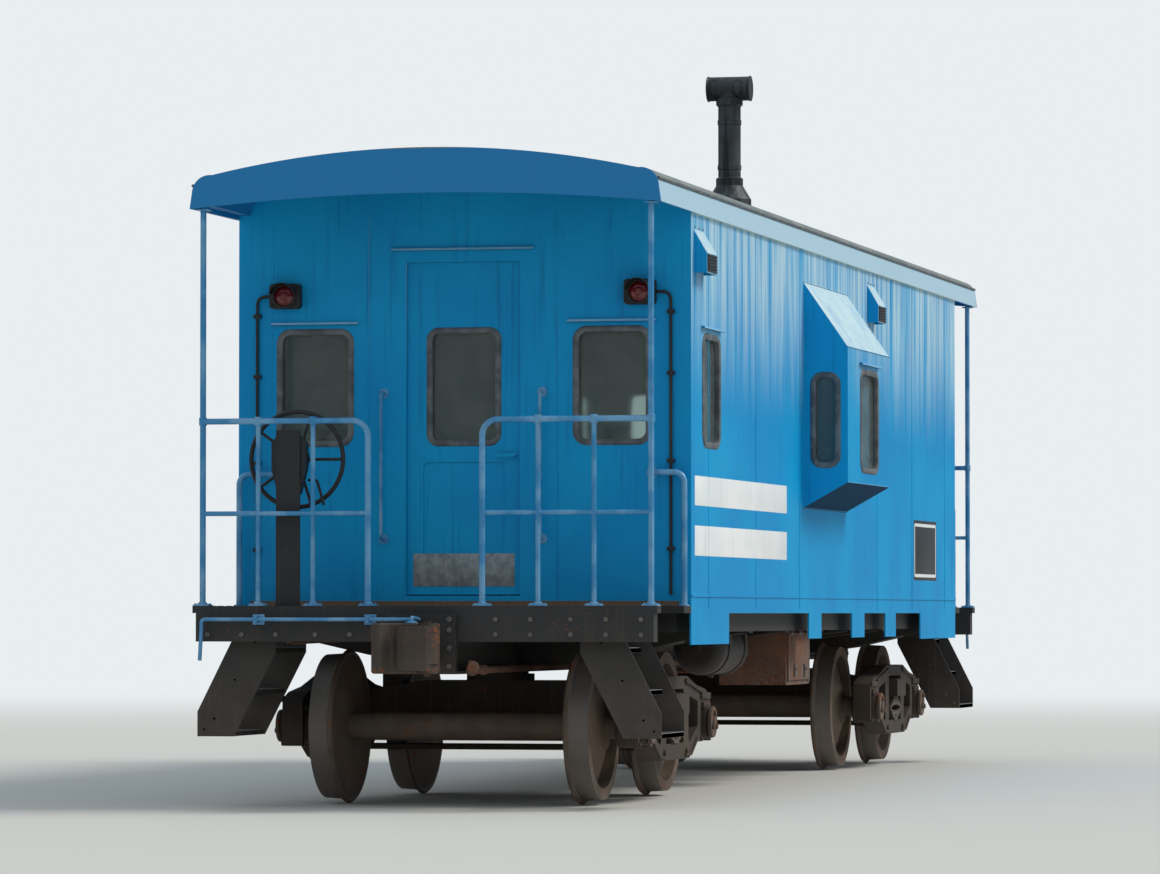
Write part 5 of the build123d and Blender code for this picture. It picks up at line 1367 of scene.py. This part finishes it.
def makeBrakeChain():
    bm = bmesh.new()
    wheelLow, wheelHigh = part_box("brake_wheel")
    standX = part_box("hand_brake")[0].x + brakeChain["standX"]
    top = Vector((standX, (wheelLow.y + wheelHigh.y) / 2, brakeChain["top"]))
    sheave, crank = top + Vector((0, 0, -brakeChain["drop"])), Vector(brakeChain["crank"])
    chain(bm, top, sheave + Vector((0, 0, brakeChain["grip"])), brakeChain["wire"], brakeChain["link"])
    turned(bm, brakeChain["sheave"], sheave, (0, 1, 0), steps=24)
    slab(bm, *(sheave + Vector(corner) for corner in brakeChain["bracket"]))
    tube(bm, [sheave + Vector(brakeChain["rodFrom"]), crank], brakeChain["rod"], count=10)
    reachX, reachY = brakeChain["crankHigh"]
    slab(bm, crank + Vector(brakeChain["crankLow"]),
         Vector((crank.x + reachX, crank.y + reachY, brakeChain["top"])))
    piece("hand_brake_chain", bm, "carbody", rustedPlate)


makePipes()
makeToolBoxHinges()
makeReservoirFittings()
makeBrakeRods()
makeBrakeChain()
print("underfloor dressed")


# Seat, back and bunk cushions, inflated as cloth
cushion = {"voxel": 16 * mm, "pressure": 4.0, "frames": 20, "cap": 16 * mm, "shrink": 9 * mm, "edge": 22 * mm}


def softBlock(name, low, high):
    bm = bmesh.new()
    inset = Vector((1, 1, 1)) * cushion["shrink"]
    slab(bm, low + inset, high - inset, cushion["edge"])
    mesh = bpy.data.meshes.new(name)
    bm.to_mesh(mesh)
    bm.free()
    made = bpy.data.objects.new(name, mesh)
    bpy.context.scene.collection.objects.link(made)
    return made


def bakeModifiers(pad):
    view = bpy.context.evaluated_depsgraph_get()
    baked = bpy.data.meshes.new_from_object(pad.evaluated_get(view), depsgraph=view)
    pad.modifiers.clear()
    pad.data = baked


def inflate(pad):
    remesh = pad.modifiers.new("remesh", "REMESH")
    remesh.mode = "VOXEL"
    remesh.voxel_size = cushion["voxel"]
    bakeModifiers(pad)
    before = [vertex.co.copy() for vertex in pad.data.vertices]
    cloth = pad.modifiers.new("cloth", "CLOTH")
    cloth.settings.use_pressure = True
    cloth.settings.uniform_pressure_force = cushion["pressure"]
    cloth.settings.effector_weights.gravity = 0
    for number in range(1, cushion["frames"] + 1):
        bpy.context.scene.frame_set(number)
    bakeModifiers(pad)
    bpy.context.scene.frame_set(1)
    for vertex, rest in zip(pad.data.vertices, before):
        moved = vertex.co - rest
        if moved.length > cushion["cap"]:
            vertex.co = rest + moved.normalized() * cushion["cap"]


def makeCushions(nodeName, padName):
    for number, (low, high) in enumerate(solidsOf(nodeName), start=1):
        pad = softBlock(f"{padName}_{number}", low, high)
        inflate(pad)
        for vertex in pad.data.vertices:  # the swell stays within the seat's own box
            vertex.co = Vector(max(low[i], min(high[i], vertex.co[i])) for i in range(3))
        pad.data.shade_smooth()
        pad.data.materials.append(seatVinyl)
        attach(pad, "carbody")
        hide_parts(nodeName)


makeCushions("seat_cushions", "seat_cushion")
makeCushions("bunk_mattresses", "bunk_mattress")
print("cushions stuffed")


sharpFrom = 32  # degrees
bpy.context.scene.view_settings.view_transform = "Standard"
for shape in cad.values():
    shape.data.shade_smooth()
    shape.data.set_sharp_from_angle(angle=math.radians(sharpFrom))
